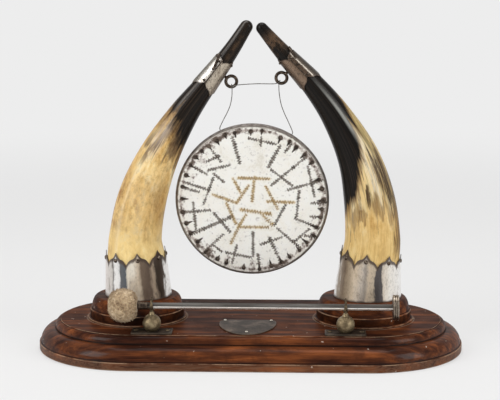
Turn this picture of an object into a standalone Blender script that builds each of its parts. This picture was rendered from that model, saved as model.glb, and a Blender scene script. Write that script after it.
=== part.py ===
# Table gong. Two cattle horns stand on turned socles at the ends of a moulded oval plinth and lean
# together. A shallow pan gong hangs between them on a wire, and its felt-headed beater lies in two
# ball rests in front. Metres, +Z up, -Y towards the player, origin under the middle of the plinth.

import math

import bmesh
import bpy
from mathutils import Matrix, Vector

# Fits
SEAT_GAP = 0.0003
BORE_GAP = 0.0003
COLLAR_STANDOFF = 0.0003
WIRE_PLAY = 0.0006

# Gong
GONG_RADIUS = 0.0902
GONG_WALL = 0.0014
GONG_RIM_DEPTH = 0.016
GONG_EDGE_RADIUS = 0.005
GONG_RIM_TAPER = 0.0015
GONG_FACE_CROWN = 0.0012
GONG_SIDESTEP = -0.0037
RIM_HOLE_DEPTH = 0.0068
RIM_HOLE_RADIUS = 0.0013
RIM_HOLE_ANGLES = {"left": -24.2, "right": 30.8}

# Plinth
GONG_TO_SOCLE_AXIS = 0.0438
PLINTH_DEPTH = 0.232
PLINTH_HEIGHT = 0.0354
FASCIA_HEIGHT = 0.009
FASCIA_EASING = 0.0008
FASCIA_STEP = 0.0018
OVOLO_WIDTH = 0.0160
OVOLO_HEIGHT = 0.0158
CREASE_WIDTH = 0.0010
CREASE_HEIGHT = 0.0012
TOP_MOULD_WIDTH = 0.0065
TOP_FILLET = 0.0008

# Socles
SOCLE_HEIGHT = 0.0265
SOCLE_FOOT_RADIUS = 0.0582
SOCLE_FOOT_HEIGHT = 0.0020
SOCLE_DRUM_RADIUS = 0.0555
SOCLE_DRUM_HEIGHT = 0.0092
SOCLE_LEDGE = 0.0020
SOCLE_TOP_RADIUS = 0.0466

# Horns: stations up each horn, with the lean of its middle line and its radius at each
LEFT_HORN_HEIGHTS = (0.0, 0.0425, 0.0695, 0.1175, 0.1655, 0.2135, 0.2495, 0.2855, 0.3155)
LEFT_HORN_LEANS = (0.0017, -0.0007, -0.0012, 0.0081, 0.0275, 0.0561, 0.0829, 0.1101, 0.1296)
LEFT_HORN_RADII = (0.0382, 0.0344, 0.0310, 0.0285, 0.0235, 0.0174, 0.0129, 0.0096, 0.0075)
RIGHT_HORN_HEIGHTS = (0.0, 0.0425, 0.0695, 0.1175, 0.1655, 0.2135, 0.2495, 0.2855, 0.3138)
RIGHT_HORN_LEANS = (-0.0044, -0.0073, -0.0097, -0.0048, 0.0085, 0.0345, 0.0620, 0.0959, 0.1206)
RIGHT_HORN_RADII = (0.0386, 0.0342, 0.0324, 0.0296, 0.0242, 0.0177, 0.0134, 0.0097, 0.0067)
HORN_UPRIGHT_FOOT = 0.060
HORN_WALL = 0.006
HORN_WALL_GROWTH = 0.06
HORN_HOLLOW = 0.075
CORE_HEIGHT = 0.050

# Silver collars round the horns
SHEET = 0.0008
BASE_COLLAR_NOTCH = 0.0409
BASE_COLLAR_POINT = 0.0145
BASE_COLLAR_POINTS = 8
BASE_COLLAR_TURN = {"left": 81.0, "right": 79.0}
COLLAR_FLARE = 0.0005
BASE_PIN_LEVEL = 0.0465
TIP_COLLAR_FROM = {"left": 0.2515, "right": 0.2585}
TIP_COLLAR_TO = {"left": 0.2748, "right": 0.2788}
TIP_LAPPETS = 3
UPPER_LAPPET = 0.0058
UPPER_LAPPET_TURN = 25.0
LOWER_LAPPET = 0.0088
LOWER_LAPPET_TURN = 38.0
SEAM_TURN = 110.0
SEAM_PINS = (0.04, 0.60, 0.97)
RIVET_RADIUS = 0.0015
RIVET_DOME = 0.0011
TIP_RIVET_RADIUS = 0.0016
TIP_RIVET_DOME = 0.0016

# Screw eyes and hanging wire
EYE_RADIUS = 0.0063
EYE_WIRE_RADIUS = 0.0019
EYE_NECK = 0.0008
EYE_LEVEL = {"left": 0.2655, "right": 0.2715}
EYE_SHANK_RADIUS = 0.0015
EYE_SHANK_LENGTH = 0.011
EYE_CONTACT_TURN = {"left": 7.0, "right": 30.0}
WIRE_RADIUS = 0.0005
WIRE_DROP = 0.0558
WIRE_FRONT_OFFSET = 0.0010
WIRE_FRONT_RUN = 0.0045
WIRE_LEVEL_BOW = 0.0009
WIRE_LEVEL_RISE = {"left": 0.0020, "right": -0.0010}
WIRE_HOOK = 0.0045
WIRE_TAIL = 0.0020
# Share of the way up a leg, bow towards the middle
LEG_BOW = ((0.20, 0.0012), (0.38, 0.0032), (0.56, 0.0042), (0.78, 0.0030))

# Fixing screws up through plinth and socle into the horn cores
FIXING_SHANK_RADIUS = 0.0024
FIXING_HEAD_RADIUS = 0.0055
FIXING_HEAD_HEIGHT = 0.0030
FIXING_RECESS = 0.0020
FIXING_REACH = 0.035
COUNTERBORE_RADIUS = 0.0070

# Beater
BEATER_HEAD_RADIUS = 0.0197
BEATER_HEAD_LENGTH = 0.0332
BEATER_HEAD_CENTRE = -0.1423
HEAD_CLEARANCE = 0.0018
ROD_RADIUS = 0.0035
ROD_IN_HEAD = 0.012
FERRULE_RADIUS = 0.0042
FERRULE_LENGTH = 0.0123
FERRULE_BORE_DEPTH = 0.0105
CAP_RADIUS = 0.0145
CAP_THICKNESS = 0.0068
CAP_FACE = 0.1640
CAP_BORE_DEPTH = 0.0045

# Ball rests
REST_X = {"left": 0.1094, "right": 0.1109}
REST_PLATE_LENGTH = 0.0465
REST_PLATE_WIDTH = 0.024
REST_PLATE_THICKNESS = 0.0018
REST_SCREW_SPACING = 0.0365
REST_SCREW_RADIUS = 0.0014
REST_SCREW_HEAD_RADIUS = 0.0028
REST_SCREW_HEAD_HEIGHT = 0.0013
REST_SCREW_LENGTH = 0.009
BALL_RADIUS = 0.0105
BALL_FOOT_RADIUS = 0.0066
BALL_FOOT_HEIGHT = 0.0003
BALL_NECK_RADIUS = 0.0040
BALL_NECK_HEIGHT = 0.0036
BALL_LIP_RADIUS = 0.0025
BALL_SPIGOT_RADIUS = 0.0020
BALL_SPIGOT_LENGTH = 0.0080
FORK_THICKNESS = 0.0015
FORK_ROOT_WIDTH = 0.0062
FORK_TIP_WIDTH = 0.0014
FORK_REACH = 0.0058
FORK_STEM_RADIUS = 0.0017
FORK_STEM_SHOW = 0.0016
FORK_STEM_DEPTH = 0.0080

# Plaque
PLAQUE_WIDTH = 0.066
PLAQUE_LENGTH = 0.068
PLAQUE_THICKNESS = 0.0010
PLAQUE_X = -0.0015
PLAQUE_BACK = -0.020
PLAQUE_PIN_INSET = 0.006
PLAQUE_TIP_PIN_INSET = 0.010
PLAQUE_PIN_RADIUS = 0.0008
PLAQUE_PIN_HEAD_RADIUS = 0.0018
PLAQUE_PIN_HEAD_HEIGHT = 0.0011
PLAQUE_PIN_LENGTH = 0.006

# Facets
HORN_SIDES = 20
HORN_STEPS = 17
SOCLE_SIDES = 28
COLLAR_SIDES = 48
TIP_COLLAR_SIDES = 30
GONG_SIDES = 42
TUBE_SIDES = 8
RIVET_SIDES = 6

SIDES = {"left": -1.0, "right": 1.0}
HORN_ROWS = {
    "left": tuple(zip(LEFT_HORN_HEIGHTS, LEFT_HORN_LEANS, LEFT_HORN_RADII)),
    "right": tuple(zip(RIGHT_HORN_HEIGHTS, RIGHT_HORN_LEANS, RIGHT_HORN_RADII)),
}
HALF_SPAN = GONG_RADIUS + GONG_TO_SOCLE_AXIS
FRONT = Vector((0.0, -1.0, 0.0))
UP = Vector((0.0, 0.0, 1.0))
ACROSS = Vector((1.0, 0.0, 0.0))

SOCLE_BASE = PLINTH_HEIGHT + SEAT_GAP
HORN_FOOT = SOCLE_BASE + SOCLE_HEIGHT + SEAT_GAP

PLATE_BASE = PLINTH_HEIGHT + SEAT_GAP
PLATE_TOP = PLATE_BASE + REST_PLATE_THICKNESS
BALL_BASE = PLATE_TOP + SEAT_GAP
BALL_CENTRE = BALL_BASE + BALL_FOOT_HEIGHT + math.sqrt(BALL_RADIUS ** 2 - BALL_FOOT_RADIUS ** 2)
BALL_LIP = BALL_CENTRE + math.sqrt(BALL_RADIUS ** 2 - BALL_NECK_RADIUS ** 2) + BALL_NECK_HEIGHT
FORK_BASE = BALL_LIP + FORK_STEM_SHOW
ROD_HEIGHT = FORK_BASE + FORK_THICKNESS + SEAT_GAP + ROD_RADIUS
REST_Y = -(SOCLE_DRUM_RADIUS + HEAD_CLEARANCE + BEATER_HEAD_RADIUS)


# Scene and materials

def clear_scene():
    for thing in list(bpy.data.objects):
        bpy.data.objects.remove(thing, do_unlink=True)


def make_material(name, colour, roughness, metallic):
    material = bpy.data.materials.new(name)
    material.use_nodes = True
    shader = material.node_tree.nodes["Principled BSDF"]
    shader.inputs["Base Color"].default_value = (*colour, 1.0)
    shader.inputs["Roughness"].default_value = roughness
    shader.inputs["Metallic"].default_value = metallic
    return material


def make_materials():
    return {
        "mahogany": make_material("mahogany", (0.14, 0.035, 0.018), 0.35, 0.0),
        "horn": make_material("horn", (0.62, 0.42, 0.17), 0.32, 0.0),
        "dark_horn": make_material("dark_horn", (0.09, 0.06, 0.045), 0.30, 0.0),
        "silver": make_material("silver", (0.72, 0.69, 0.64), 0.28, 1.0),
        "pin_silver": make_material("pin_silver", (0.40, 0.37, 0.33), 0.35, 1.0),
        "gong_silver": make_material("gong_silver", (0.83, 0.80, 0.74), 0.33, 1.0),
        "dark_iron": make_material("dark_iron", (0.10, 0.085, 0.07), 0.45, 1.0),
        "brass": make_material("brass", (0.30, 0.25, 0.15), 0.42, 1.0),
        "pewter": make_material("pewter", (0.11, 0.105, 0.10), 0.42, 1.0),
        "felt": make_material("felt", (0.46, 0.36, 0.24), 0.95, 0.0),
        "core_wood": make_material("core_wood", (0.48, 0.33, 0.19), 0.7, 0.0),
    }


# Building helpers

def add_empty(name, place, parent=None):
    empty = bpy.data.objects.new(name, None)
    empty.empty_display_size = 0.01
    bpy.context.collection.objects.link(empty)
    set_place(empty, place, parent)
    return empty


def set_place(thing, place, parent):
    thing.parent = parent
    start = world_place(parent) if parent else Vector((0.0, 0.0, 0.0))
    thing.location = Vector(place) - start


def world_place(thing):
    place = thing.location.copy()
    while thing.parent:
        thing = thing.parent
        place += thing.location
    return place


def add_solid(name, bm, material, origin, parent=None, sharp=40.0):
    # The shape is drawn in world places, then hung on its own origin
    bmesh.ops.recalc_face_normals(bm, faces=bm.faces)
    bmesh.ops.translate(bm, verts=bm.verts, vec=-Vector(origin))
    mesh = bpy.data.meshes.new(name)
    bm.to_mesh(mesh)
    bm.free()
    mesh.materials.append(material)
    mesh.shade_smooth()
    mesh.set_sharp_from_angle(angle=math.radians(sharp))
    solid = bpy.data.objects.new(name, mesh)
    bpy.context.collection.objects.link(solid)
    set_place(solid, origin, parent)
    return solid


def join_loops(bm, low, high):
    count = max(len(low), len(high))
    for i in range(count):
        j = (i + 1) % count
        corners = [low[i % len(low)], low[j % len(low)], high[j % len(high)], high[i % len(high)]]
        bm.faces.new([v for n, v in enumerate(corners) if v not in corners[:n]])


def draw_loft(bm, rings):
    # A skin over rings of points; an end ring of one point is a pole, any other is closed flat
    loops = [[bm.verts.new(point) for point in ring] for ring in rings]
    for low, high in zip(loops, loops[1:]):
        join_loops(bm, low, high)
    for end in (loops[0], loops[-1]):
        if len(end) > 1:
            bm.faces.new(end)


def turned_rings(profile, sides, place):
    # Rings of a turned piece; the profile is (radius, height) on the piece's own axis
    rings = []
    for radius, height in profile:
        if radius == 0.0:
            rings.append([place @ Vector((0.0, 0.0, height))])
            continue
        turns = [2.0 * math.pi * i / sides for i in range(sides)]
        rings.append([
            place @ Vector((radius * math.cos(t), radius * math.sin(t), height)) for t in turns
        ])
    return rings


def along(start, direction):
    # A frame at start whose Z runs along direction
    return Matrix.Translation(start) @ direction.to_track_quat("Z", "Y").to_matrix().to_4x4()


def add_turned(name, profile, sides, place, material, parent=None, sharp=40.0):
    bm = bmesh.new()
    draw_loft(bm, turned_rings(profile, sides, place))
    return add_solid(name, bm, material, place.translation, parent, sharp)


def add_cutter(name, profile, sides, place):
    cutter = add_turned(name, profile, sides, place, MATERIALS["dark_iron"])
    cutter.hide_render = True
    cutter.display_type = "WIRE"
    return cutter


def combine(solid, tool, operation="DIFFERENCE"):
    modifier = solid.modifiers.new(operation.lower(), "BOOLEAN")
    modifier.operation = operation
    modifier.solver = "EXACT"
    modifier.object = tool


def quarter_curve(start, end, steps, bulge_first):
    # Points of a quarter ellipse from start to end; it leaves start along its second axis if
    # bulge_first is set, and along its first axis if not
    points = []
    for i in range(1, steps + 1):
        turn = 0.5 * math.pi * i / steps
        slow = 1.0 - math.cos(turn)
        fast = math.sin(turn)
        first, second = (slow, fast) if bulge_first else (fast, slow)
        points.append((
            start[0] + (end[0] - start[0]) * first,
            start[1] + (end[1] - start[1]) * second,
        ))
    return points


def rod_profile(radius, low, high):
    return [(0.0, low), (radius, low), (radius, high), (0.0, high)]


# Plinth and socles

def stadium(inset, height):
    # The plinth's outline, two half rounds about the socle axes
    radius = PLINTH_DEPTH / 2.0 - inset
    steps = 16
    points = []
    for side, start in ((1.0, -90.0), (-1.0, 90.0)):
        for i in range(steps + 1):
            turn = math.radians(start + 180.0 * i / steps)
            points.append((
                side * HALF_SPAN + radius * math.cos(turn),
                radius * math.sin(turn),
                height,
            ))
    return points


def plinth_profile():
    # (inset, height) from the underside to the top
    points = [(FASCIA_EASING, 0.0), (0.0, FASCIA_EASING), (0.0, FASCIA_HEIGHT)]
    points.append((FASCIA_STEP, FASCIA_HEIGHT + FASCIA_EASING))
    ovolo_top = (points[-1][0] + OVOLO_WIDTH, points[-1][1] + OVOLO_HEIGHT)
    points += quarter_curve(points[-1], ovolo_top, 5, True)
    points.append((ovolo_top[0] + CREASE_WIDTH, ovolo_top[1]))
    points.append((points[-1][0], ovolo_top[1] + CREASE_HEIGHT))
    mould_top = (points[-1][0] + TOP_MOULD_WIDTH, PLINTH_HEIGHT - TOP_FILLET)
    points += quarter_curve(points[-1], mould_top, 3, True)
    points.append((mould_top[0], PLINTH_HEIGHT))
    return points


def build_plinth():
    bm = bmesh.new()
    draw_loft(bm, [stadium(inset, height) for inset, height in plinth_profile()])
    return add_solid("plinth", bm, MATERIALS["mahogany"], (0.0, 0.0, 0.0), sharp=35.0)


def socle_profile():
    ledge = SOCLE_FOOT_HEIGHT + SOCLE_DRUM_HEIGHT
    shoulder = SOCLE_DRUM_RADIUS - SOCLE_LEDGE
    points = [
        (0.0, 0.0),
        (SOCLE_FOOT_RADIUS, 0.0),
        (SOCLE_FOOT_RADIUS, SOCLE_FOOT_HEIGHT * 0.7),
        (SOCLE_DRUM_RADIUS, SOCLE_FOOT_HEIGHT),
        (SOCLE_DRUM_RADIUS, ledge),
        (shoulder, ledge + SOCLE_LEDGE / 2.0),
    ]
    points += quarter_curve(points[-1], (SOCLE_TOP_RADIUS, SOCLE_HEIGHT), 5, True)
    points.append((0.0, SOCLE_HEIGHT))
    return points


def build_socle(name, side):
    place = Matrix.Translation((SIDES[side] * HALF_SPAN, 0.0, SOCLE_BASE))
    return add_turned(name, socle_profile(), SOCLE_SIDES, place, MATERIALS["mahogany"], sharp=35.0)


# Horns

def smooth_value(rows, level, column):
    # A smooth curve through the rows, with slopes taken from their neighbours
    last = len(rows) - 2
    index = max(i for i in range(last + 1) if i == 0 or rows[i][0] <= level)
    low, high = rows[index], rows[index + 1]
    span = high[0] - low[0]
    chord = (high[column] - low[column]) / span
    slope_in = chord
    if index > 0:
        before = rows[index - 1]
        slope_in = (high[column] - before[column]) / (high[0] - before[0])
    slope_out = chord
    if index < last:
        after = rows[index + 2]
        slope_out = (after[column] - low[column]) / (after[0] - low[0])
    t = (level - low[0]) / span
    return (
        low[column] * (2 * t ** 3 - 3 * t ** 2 + 1)
        + high[column] * (3 * t ** 2 - 2 * t ** 3)
        + span * slope_in * (t ** 3 - 2 * t ** 2 + t)
        + span * slope_out * (t ** 3 - t ** 2)
    )


def horn_frame(side, level):
    # Centre, inward direction square to the centre line, growth direction and radius at a height
    rows = HORN_ROWS[side]
    sign = SIDES[side]
    lean = smooth_value(rows, level, 1)
    nudge = 0.001
    slope = (smooth_value(rows, level + nudge, 1) - smooth_value(rows, level - nudge, 1)) / (2 * nudge)
    slope *= min(1.0, max(0.0, level / HORN_UPRIGHT_FOOT))
    growth = Vector((-sign * slope, 0.0, 1.0)).normalized()
    inward = Vector((-sign * growth.z, 0.0, sign * growth.x))
    centre = Vector((sign * (HALF_SPAN - lean), 0.0, HORN_FOOT + level))
    return centre, inward, growth, smooth_value(rows, level, 2)


def horn_point(side, level, turn, standoff):
    # A point over the horn's surface; turn runs in degrees from the inner side to the front
    centre, inward, growth, radius = horn_frame(side, level)
    angle = math.radians(turn)
    outward = inward * math.cos(angle) + FRONT * math.sin(angle)
    return centre + outward * (radius + standoff), outward


def horn_ring(side, level, standoff):
    turns = [360.0 * i / HORN_SIDES for i in range(HORN_SIDES)]
    return [horn_point(side, level, turn, standoff)[0] for turn in turns]


def hollow_depth(level):
    # How far the hollow of the foot lies inside the horn's surface
    return HORN_WALL + HORN_WALL_GROWTH * level


def horn_tip_rings(side):
    top = HORN_ROWS[side][-1][0]
    centre, inward, growth, radius = horn_frame(side, top)
    rings = []
    for rise in (28.0, 52.0, 72.0):
        lift = growth * (radius * math.sin(math.radians(rise)))
        standoff = radius * (math.cos(math.radians(rise)) - 1.0)
        rings.append([point + lift for point in horn_ring(side, top, standoff)])
    rings.append([centre + growth * radius])
    return rings


def build_horn(name, side):
    top = HORN_ROWS[side][-1][0]
    rings = [[horn_frame(side, HORN_HOLLOW)[0]]]
    for share in (1.0, 0.5, 0.0):
        level = CORE_HEIGHT * share
        rings.append(horn_ring(side, level, -hollow_depth(level)))
    rings += [horn_ring(side, top * i / HORN_STEPS, 0.0) for i in range(HORN_STEPS + 1)]
    rings += horn_tip_rings(side)
    bm = bmesh.new()
    draw_loft(bm, rings)
    return add_solid(name, bm, MATERIALS["horn"], horn_frame(side, 0.0)[0], sharp=50.0)


def build_core(name, side):
    # The wooden plug that fills the horn's hollow foot
    rings = []
    for share in (0.0, 0.5, 1.0):
        level = CORE_HEIGHT * share
        rings.append(horn_ring(side, level, -hollow_depth(level) - SEAT_GAP))
    rings[-1] = [point - UP * SEAT_GAP for point in rings[-1]]
    bm = bmesh.new()
    draw_loft(bm, rings)
    return add_solid(name, bm, MATERIALS["core_wood"], horn_frame(side, 0.0)[0])


# Collars

def keel_edge(turn, count):
    # 0 in the notches and 1 at the points, with sides that swell and then draw in
    phase = (turn * count / 360.0) % 1.0
    ramp = abs(2.0 * phase - 1.0)
    return ramp + 0.11 * math.sin(2.0 * math.pi * ramp)


def add_sheet(name, rows, origin, material):
    # A sleeve of sheet metal, given by the rows of points on its inner face
    bm = bmesh.new()
    loops = [[bm.verts.new(point) for point in row] for row in rows]
    for low, high in zip(loops, loops[1:]):
        join_loops(bm, low, high)
    for face in bm.faces:
        face.normal_update()
    middle = sum((v.co for v in bm.verts), Vector()) / len(bm.verts)
    outward = sum(face.normal.dot(face.calc_center_median() - middle) for face in bm.faces)
    if outward < 0.0:
        bmesh.ops.reverse_faces(bm, faces=bm.faces)
    bmesh.ops.translate(bm, verts=bm.verts, vec=-Vector(origin))
    mesh = bpy.data.meshes.new(name)
    bm.to_mesh(mesh)
    bm.free()
    mesh.materials.append(material)
    mesh.shade_smooth()
    mesh.set_sharp_from_angle(angle=math.radians(40.0))
    sheet = bpy.data.objects.new(name, mesh)
    bpy.context.collection.objects.link(sheet)
    set_place(sheet, origin, None)
    thickness = sheet.modifiers.new("thickness", "SOLIDIFY")
    thickness.thickness = SHEET
    thickness.offset = 1.0
    thickness.use_even_offset = True
    return sheet


def base_collar_point(side, level, turn, standoff):
    # The collar follows the horn and flares a little away from it towards the points
    flare = COLLAR_FLARE * (level / BASE_COLLAR_NOTCH) ** 2
    return horn_point(side, level, turn, COLLAR_STANDOFF + flare + standoff)


def build_base_collar(name, side):
    turns = [360.0 * i / COLLAR_SIDES for i in range(COLLAR_SIDES)]
    phase = BASE_COLLAR_TURN[side]
    rows = []
    for share in (0.0, 0.5, 0.93):
        level = BASE_COLLAR_NOTCH * share
        rows.append([base_collar_point(side, level, turn + phase, 0.0)[0] for turn in turns])
    edge = []
    for turn in turns:
        level = BASE_COLLAR_NOTCH + BASE_COLLAR_POINT * keel_edge(turn, BASE_COLLAR_POINTS)
        edge.append(base_collar_point(side, level, turn + phase, 0.0)[0])
    rows.append(edge)
    collar = add_sheet(name, rows, horn_frame(side, 0.0)[0], MATERIALS["silver"])
    spots = [
        base_collar_point(side, BASE_PIN_LEVEL, phase + 360.0 * i / BASE_COLLAR_POINTS, SHEET)
        for i in range(BASE_COLLAR_POINTS)
    ]
    add_rivets(collar, spots, RIVET_RADIUS, RIVET_DOME)
    return collar


def add_rivets(sheet, spots, radius, dome):
    # Domed heads raised on the outer face of a sheet
    bm = bmesh.new()
    profile = [
        (0.0, -SHEET / 2.0),
        (radius, -SHEET / 2.0),
        (radius, 0.0),
        (radius * 0.72, dome * 0.7),
        (0.0, dome),
    ]
    for place, outward in spots:
        draw_loft(bm, turned_rings(profile, RIVET_SIDES, along(place, outward)))
    heads = add_solid(sheet.name + "_rivet_tool", bm, MATERIALS["silver"], spots[0][0])
    heads.hide_render = True
    heads.display_type = "WIRE"
    combine(sheet, heads, "UNION")


def build_tip_collar(name, side):
    # A sleeve round the thin end of the horn, with lappets at both ends and a pinned seam
    turns = [360.0 * i / TIP_COLLAR_SIDES for i in range(TIP_COLLAR_SIDES)]
    low = TIP_COLLAR_FROM[side]
    high = TIP_COLLAR_TO[side]
    rows = []
    for share in (0.0, 0.33, 0.67, 1.0):
        points = []
        for turn in turns:
            foot = low - LOWER_LAPPET * keel_edge(turn - LOWER_LAPPET_TURN, TIP_LAPPETS)
            head = high + UPPER_LAPPET * keel_edge(turn - UPPER_LAPPET_TURN, TIP_LAPPETS)
            points.append(horn_point(side, foot + (head - foot) * share, turn, SEAT_GAP)[0])
        rows.append(points)
    collar = add_sheet(name, rows, horn_frame(side, (low + high) / 2.0)[0], MATERIALS["silver"])
    face = SEAT_GAP + SHEET
    spots = [horn_point(side, low + (high - low) * share, SEAM_TURN, face) for share in SEAM_PINS]
    for i in range(TIP_LAPPETS):
        turn = UPPER_LAPPET_TURN + 360.0 / TIP_LAPPETS * i
        spots.append(horn_point(side, high + UPPER_LAPPET * 0.4, turn, face))
    add_rivets(collar, spots, TIP_RIVET_RADIUS, TIP_RIVET_DOME)
    return collar


# Screw eyes

def eye_frame(side):
    # Centre of the eye, and the direction from it back to the horn
    centre, inward, growth, radius = horn_frame(side, EYE_LEVEL[side])
    reach = radius + SEAT_GAP + SHEET + EYE_NECK + EYE_RADIUS + EYE_WIRE_RADIUS
    return centre + inward * reach, -inward


def eye_contact(side):
    # The point of the eye's own wire that the hanging wire rides on
    centre, back = eye_frame(side)
    turn = math.radians(EYE_CONTACT_TURN[side])
    middle = -SIDES[side]
    return centre + Vector((middle * math.sin(turn), 0.0, -math.cos(turn))) * EYE_RADIUS


def eye_cutter(name, side):
    centre, back = eye_frame(side)
    low = EYE_RADIUS + EYE_WIRE_RADIUS
    profile = rod_profile(EYE_SHANK_RADIUS + BORE_GAP, low, low + EYE_SHANK_LENGTH + BORE_GAP)
    return add_cutter(name, profile, 10, along(centre, back))


def build_ring_eye(name, side):
    centre, back = eye_frame(side)
    around = 16
    bm = bmesh.new()
    loops = []
    for i in range(around):
        turn = 2.0 * math.pi * (i + 0.5) / around
        spoke = ACROSS * math.cos(turn) + UP * math.sin(turn)
        ring = []
        for k in range(TUBE_SIDES):
            tilt = 2.0 * math.pi * k / TUBE_SIDES
            offset = spoke * math.cos(tilt) + FRONT * math.sin(tilt)
            ring.append(bm.verts.new(centre + spoke * EYE_RADIUS + offset * EYE_WIRE_RADIUS))
        loops.append(ring)
    for low, high in zip(loops, loops[1:] + loops[:1]):
        join_loops(bm, low, high)
    eye = add_solid(name, bm, MATERIALS["dark_iron"], centre, sharp=60.0)
    root = EYE_RADIUS
    end = EYE_RADIUS + EYE_WIRE_RADIUS + EYE_SHANK_LENGTH
    profile = [(0.0, root), (EYE_SHANK_RADIUS, root), (EYE_SHANK_RADIUS, end - 0.003), (0.0, end)]
    shank = add_cutter(name + "_shank_tool", profile, 10, along(centre, back))
    combine(eye, shank, "UNION")
    return eye


# Gong

def gong_profile():
    # (radius, height) with the face's edge at height 0 and the rim running back
    edge = GONG_RADIUS - GONG_EDGE_RADIUS
    back = -GONG_RIM_DEPTH
    outer = [(0.0, GONG_FACE_CROWN), (edge * 0.5, GONG_FACE_CROWN * 0.75), (edge, 0.0)]
    outer += quarter_curve((edge, 0.0), (GONG_RADIUS, -GONG_EDGE_RADIUS), 3, False)
    outer.append((GONG_RADIUS - GONG_RIM_TAPER, back))
    inner = [(GONG_RADIUS - GONG_RIM_TAPER - GONG_WALL, back)]
    inner.append((GONG_RADIUS - GONG_WALL, -GONG_EDGE_RADIUS))
    inner += quarter_curve(inner[-1], (edge, -GONG_WALL), 2, True)
    inner += [(edge * 0.5, GONG_FACE_CROWN * 0.75 - GONG_WALL), (0.0, GONG_FACE_CROWN - GONG_WALL)]
    return outer + inner


def balance_depth(profile):
    # How far the centre of mass of a turned piece lies behind height 0
    volume = 0.0
    moment = 0.0
    for (r0, z0), (r1, z1) in zip(profile, profile[1:]):
        rise = z1 - z0
        volume += rise * (r0 * r0 + r0 * r1 + r1 * r1) / 3.0
        near = z0 * (3 * r0 * r0 + 2 * r0 * r1 + r1 * r1)
        far = z1 * (r0 * r0 + 2 * r0 * r1 + 3 * r1 * r1)
        moment += rise * (near + far) / 12.0
    return -moment / volume


def rim_hole_local(side):
    radius = GONG_RADIUS - GONG_WALL / 2.0
    radius -= GONG_RIM_TAPER * (RIM_HOLE_DEPTH - GONG_EDGE_RADIUS) / (GONG_RIM_DEPTH - GONG_EDGE_RADIUS)
    turn = math.radians(RIM_HOLE_ANGLES[side])
    return Vector((radius * math.sin(turn), radius * math.cos(turn), -RIM_HOLE_DEPTH))


def gong_frame():
    # The gong leans forward until its centre of mass hangs under the line through its rim holes
    left = rim_hole_local("left")
    right = rim_hole_local("right")
    arm = left.y + (right.y - left.y) * (0.0 - left.x) / (right.x - left.x)
    depth = balance_depth(gong_profile())
    lean = math.atan2(RIM_HOLE_DEPTH - depth, arm)
    middle = (eye_contact("left") + eye_contact("right")) / 2.0
    centre = Vector((
        middle.x + GONG_SIDESTEP,
        -depth * math.cos(lean),
        middle.z - WIRE_DROP - arm * math.cos(lean) - RIM_HOLE_DEPTH * math.sin(lean),
    ))
    return Matrix.Translation(centre) @ Matrix.Rotation(math.pi / 2.0 + lean, 4, "X")


def rim_hole(side):
    return gong_frame() @ rim_hole_local(side)


def rim_hole_direction(side):
    # From the gong's axis out through the hole
    local = rim_hole_local(side)
    return (gong_frame().to_3x3() @ Vector((local.x, local.y, 0.0))).normalized()


def build_gong(name, parent):
    bm = bmesh.new()
    draw_loft(bm, turned_rings(gong_profile(), GONG_SIDES, gong_frame()))
    gong = add_solid(name, bm, MATERIALS["gong_silver"], world_place(parent), parent, 35.0)
    for side in SIDES:
        reach = GONG_WALL * 3.0
        profile = rod_profile(RIM_HOLE_RADIUS, -reach, reach)
        place = along(rim_hole(side), rim_hole_direction(side))
        combine(gong, add_cutter(side + "_rim_hole_tool", profile, 12, place))
    return gong


# Hanging wire

def leg_points(side):
    # From the hook inside the rim, out through the hole and up to the back of the eye
    sign = SIDES[side]
    hole = rim_hole(side)
    outward = rim_hole_direction(side)
    inside = hole - outward * (GONG_WALL / 2.0 + WIRE_RADIUS + WIRE_TAIL)
    sideways = Vector((-sign, 0.0, 0.0))
    points = [
        inside + sideways * WIRE_HOOK,
        inside + sideways * (WIRE_HOOK * 0.5) + outward * (WIRE_TAIL * 0.12),
        inside + sideways * (WIRE_RADIUS * 1.2) + outward * (WIRE_TAIL * 0.5),
        hole,
        hole + outward * (GONG_WALL / 2.0 + WIRE_TAIL),
    ]
    start = hole + outward * (GONG_WALL / 2.0 + WIRE_TAIL)
    contact = eye_contact(side)
    end = contact - FRONT * wrap_radius()
    for share, bow in LEG_BOW:
        points.append(start.lerp(end, share) + sideways * bow)
    points.append(end - UP * EYE_WIRE_RADIUS)
    return points


def wrap_radius():
    return EYE_WIRE_RADIUS + WIRE_RADIUS + WIRE_PLAY


def wrap_points(side):
    # Through the eye and over its wire, from behind to the front, square to the eye's own wire
    contact = eye_contact(side)
    inside = (eye_frame(side)[0] - contact).normalized()
    points = []
    for turn in range(0, 181, 30):
        angle = math.radians(turn)
        points.append(contact + (inside * math.sin(angle) - FRONT * math.cos(angle)) * wrap_radius())
    middle = Vector((-SIDES[side], 0.0, 0.0))
    for share in (0.3, 1.0):
        ahead = FRONT * (wrap_radius() + WIRE_FRONT_OFFSET * share)
        rise = UP * WIRE_LEVEL_RISE[side]
        points.append(contact + ahead + (middle * WIRE_FRONT_RUN + rise) * share)
    return points


def spline_point(a, b, c, d, share):
    # A point between b and c of a smooth curve through all four, its pace set by their spacing
    ta = 0.0
    tb = ta + math.sqrt((b - a).length)
    tc = tb + math.sqrt((c - b).length)
    td = tc + math.sqrt((d - c).length)
    t = tb + (tc - tb) * share
    ab = a.lerp(b, (t - ta) / (tb - ta))
    bc = b.lerp(c, (t - tb) / (tc - tb))
    cd = c.lerp(d, (t - tc) / (td - tc))
    abc = ab.lerp(bc, (t - ta) / (tc - ta))
    bcd = bc.lerp(cd, (t - tb) / (td - tb))
    return abc.lerp(bcd, (t - tb) / (tc - tb))


def smooth_path(points, step):
    # A smooth curve through the points, cut into short runs
    padded = [2 * points[0] - points[1]] + points + [2 * points[-1] - points[-2]]
    path = []
    for a, b, c, d in zip(padded, padded[1:], padded[2:], padded[3:]):
        runs = max(1, round((c - b).length / step))
        path += [spline_point(a, b, c, d, i / runs) for i in range(runs)]
    path.append(points[-1])
    return path


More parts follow.
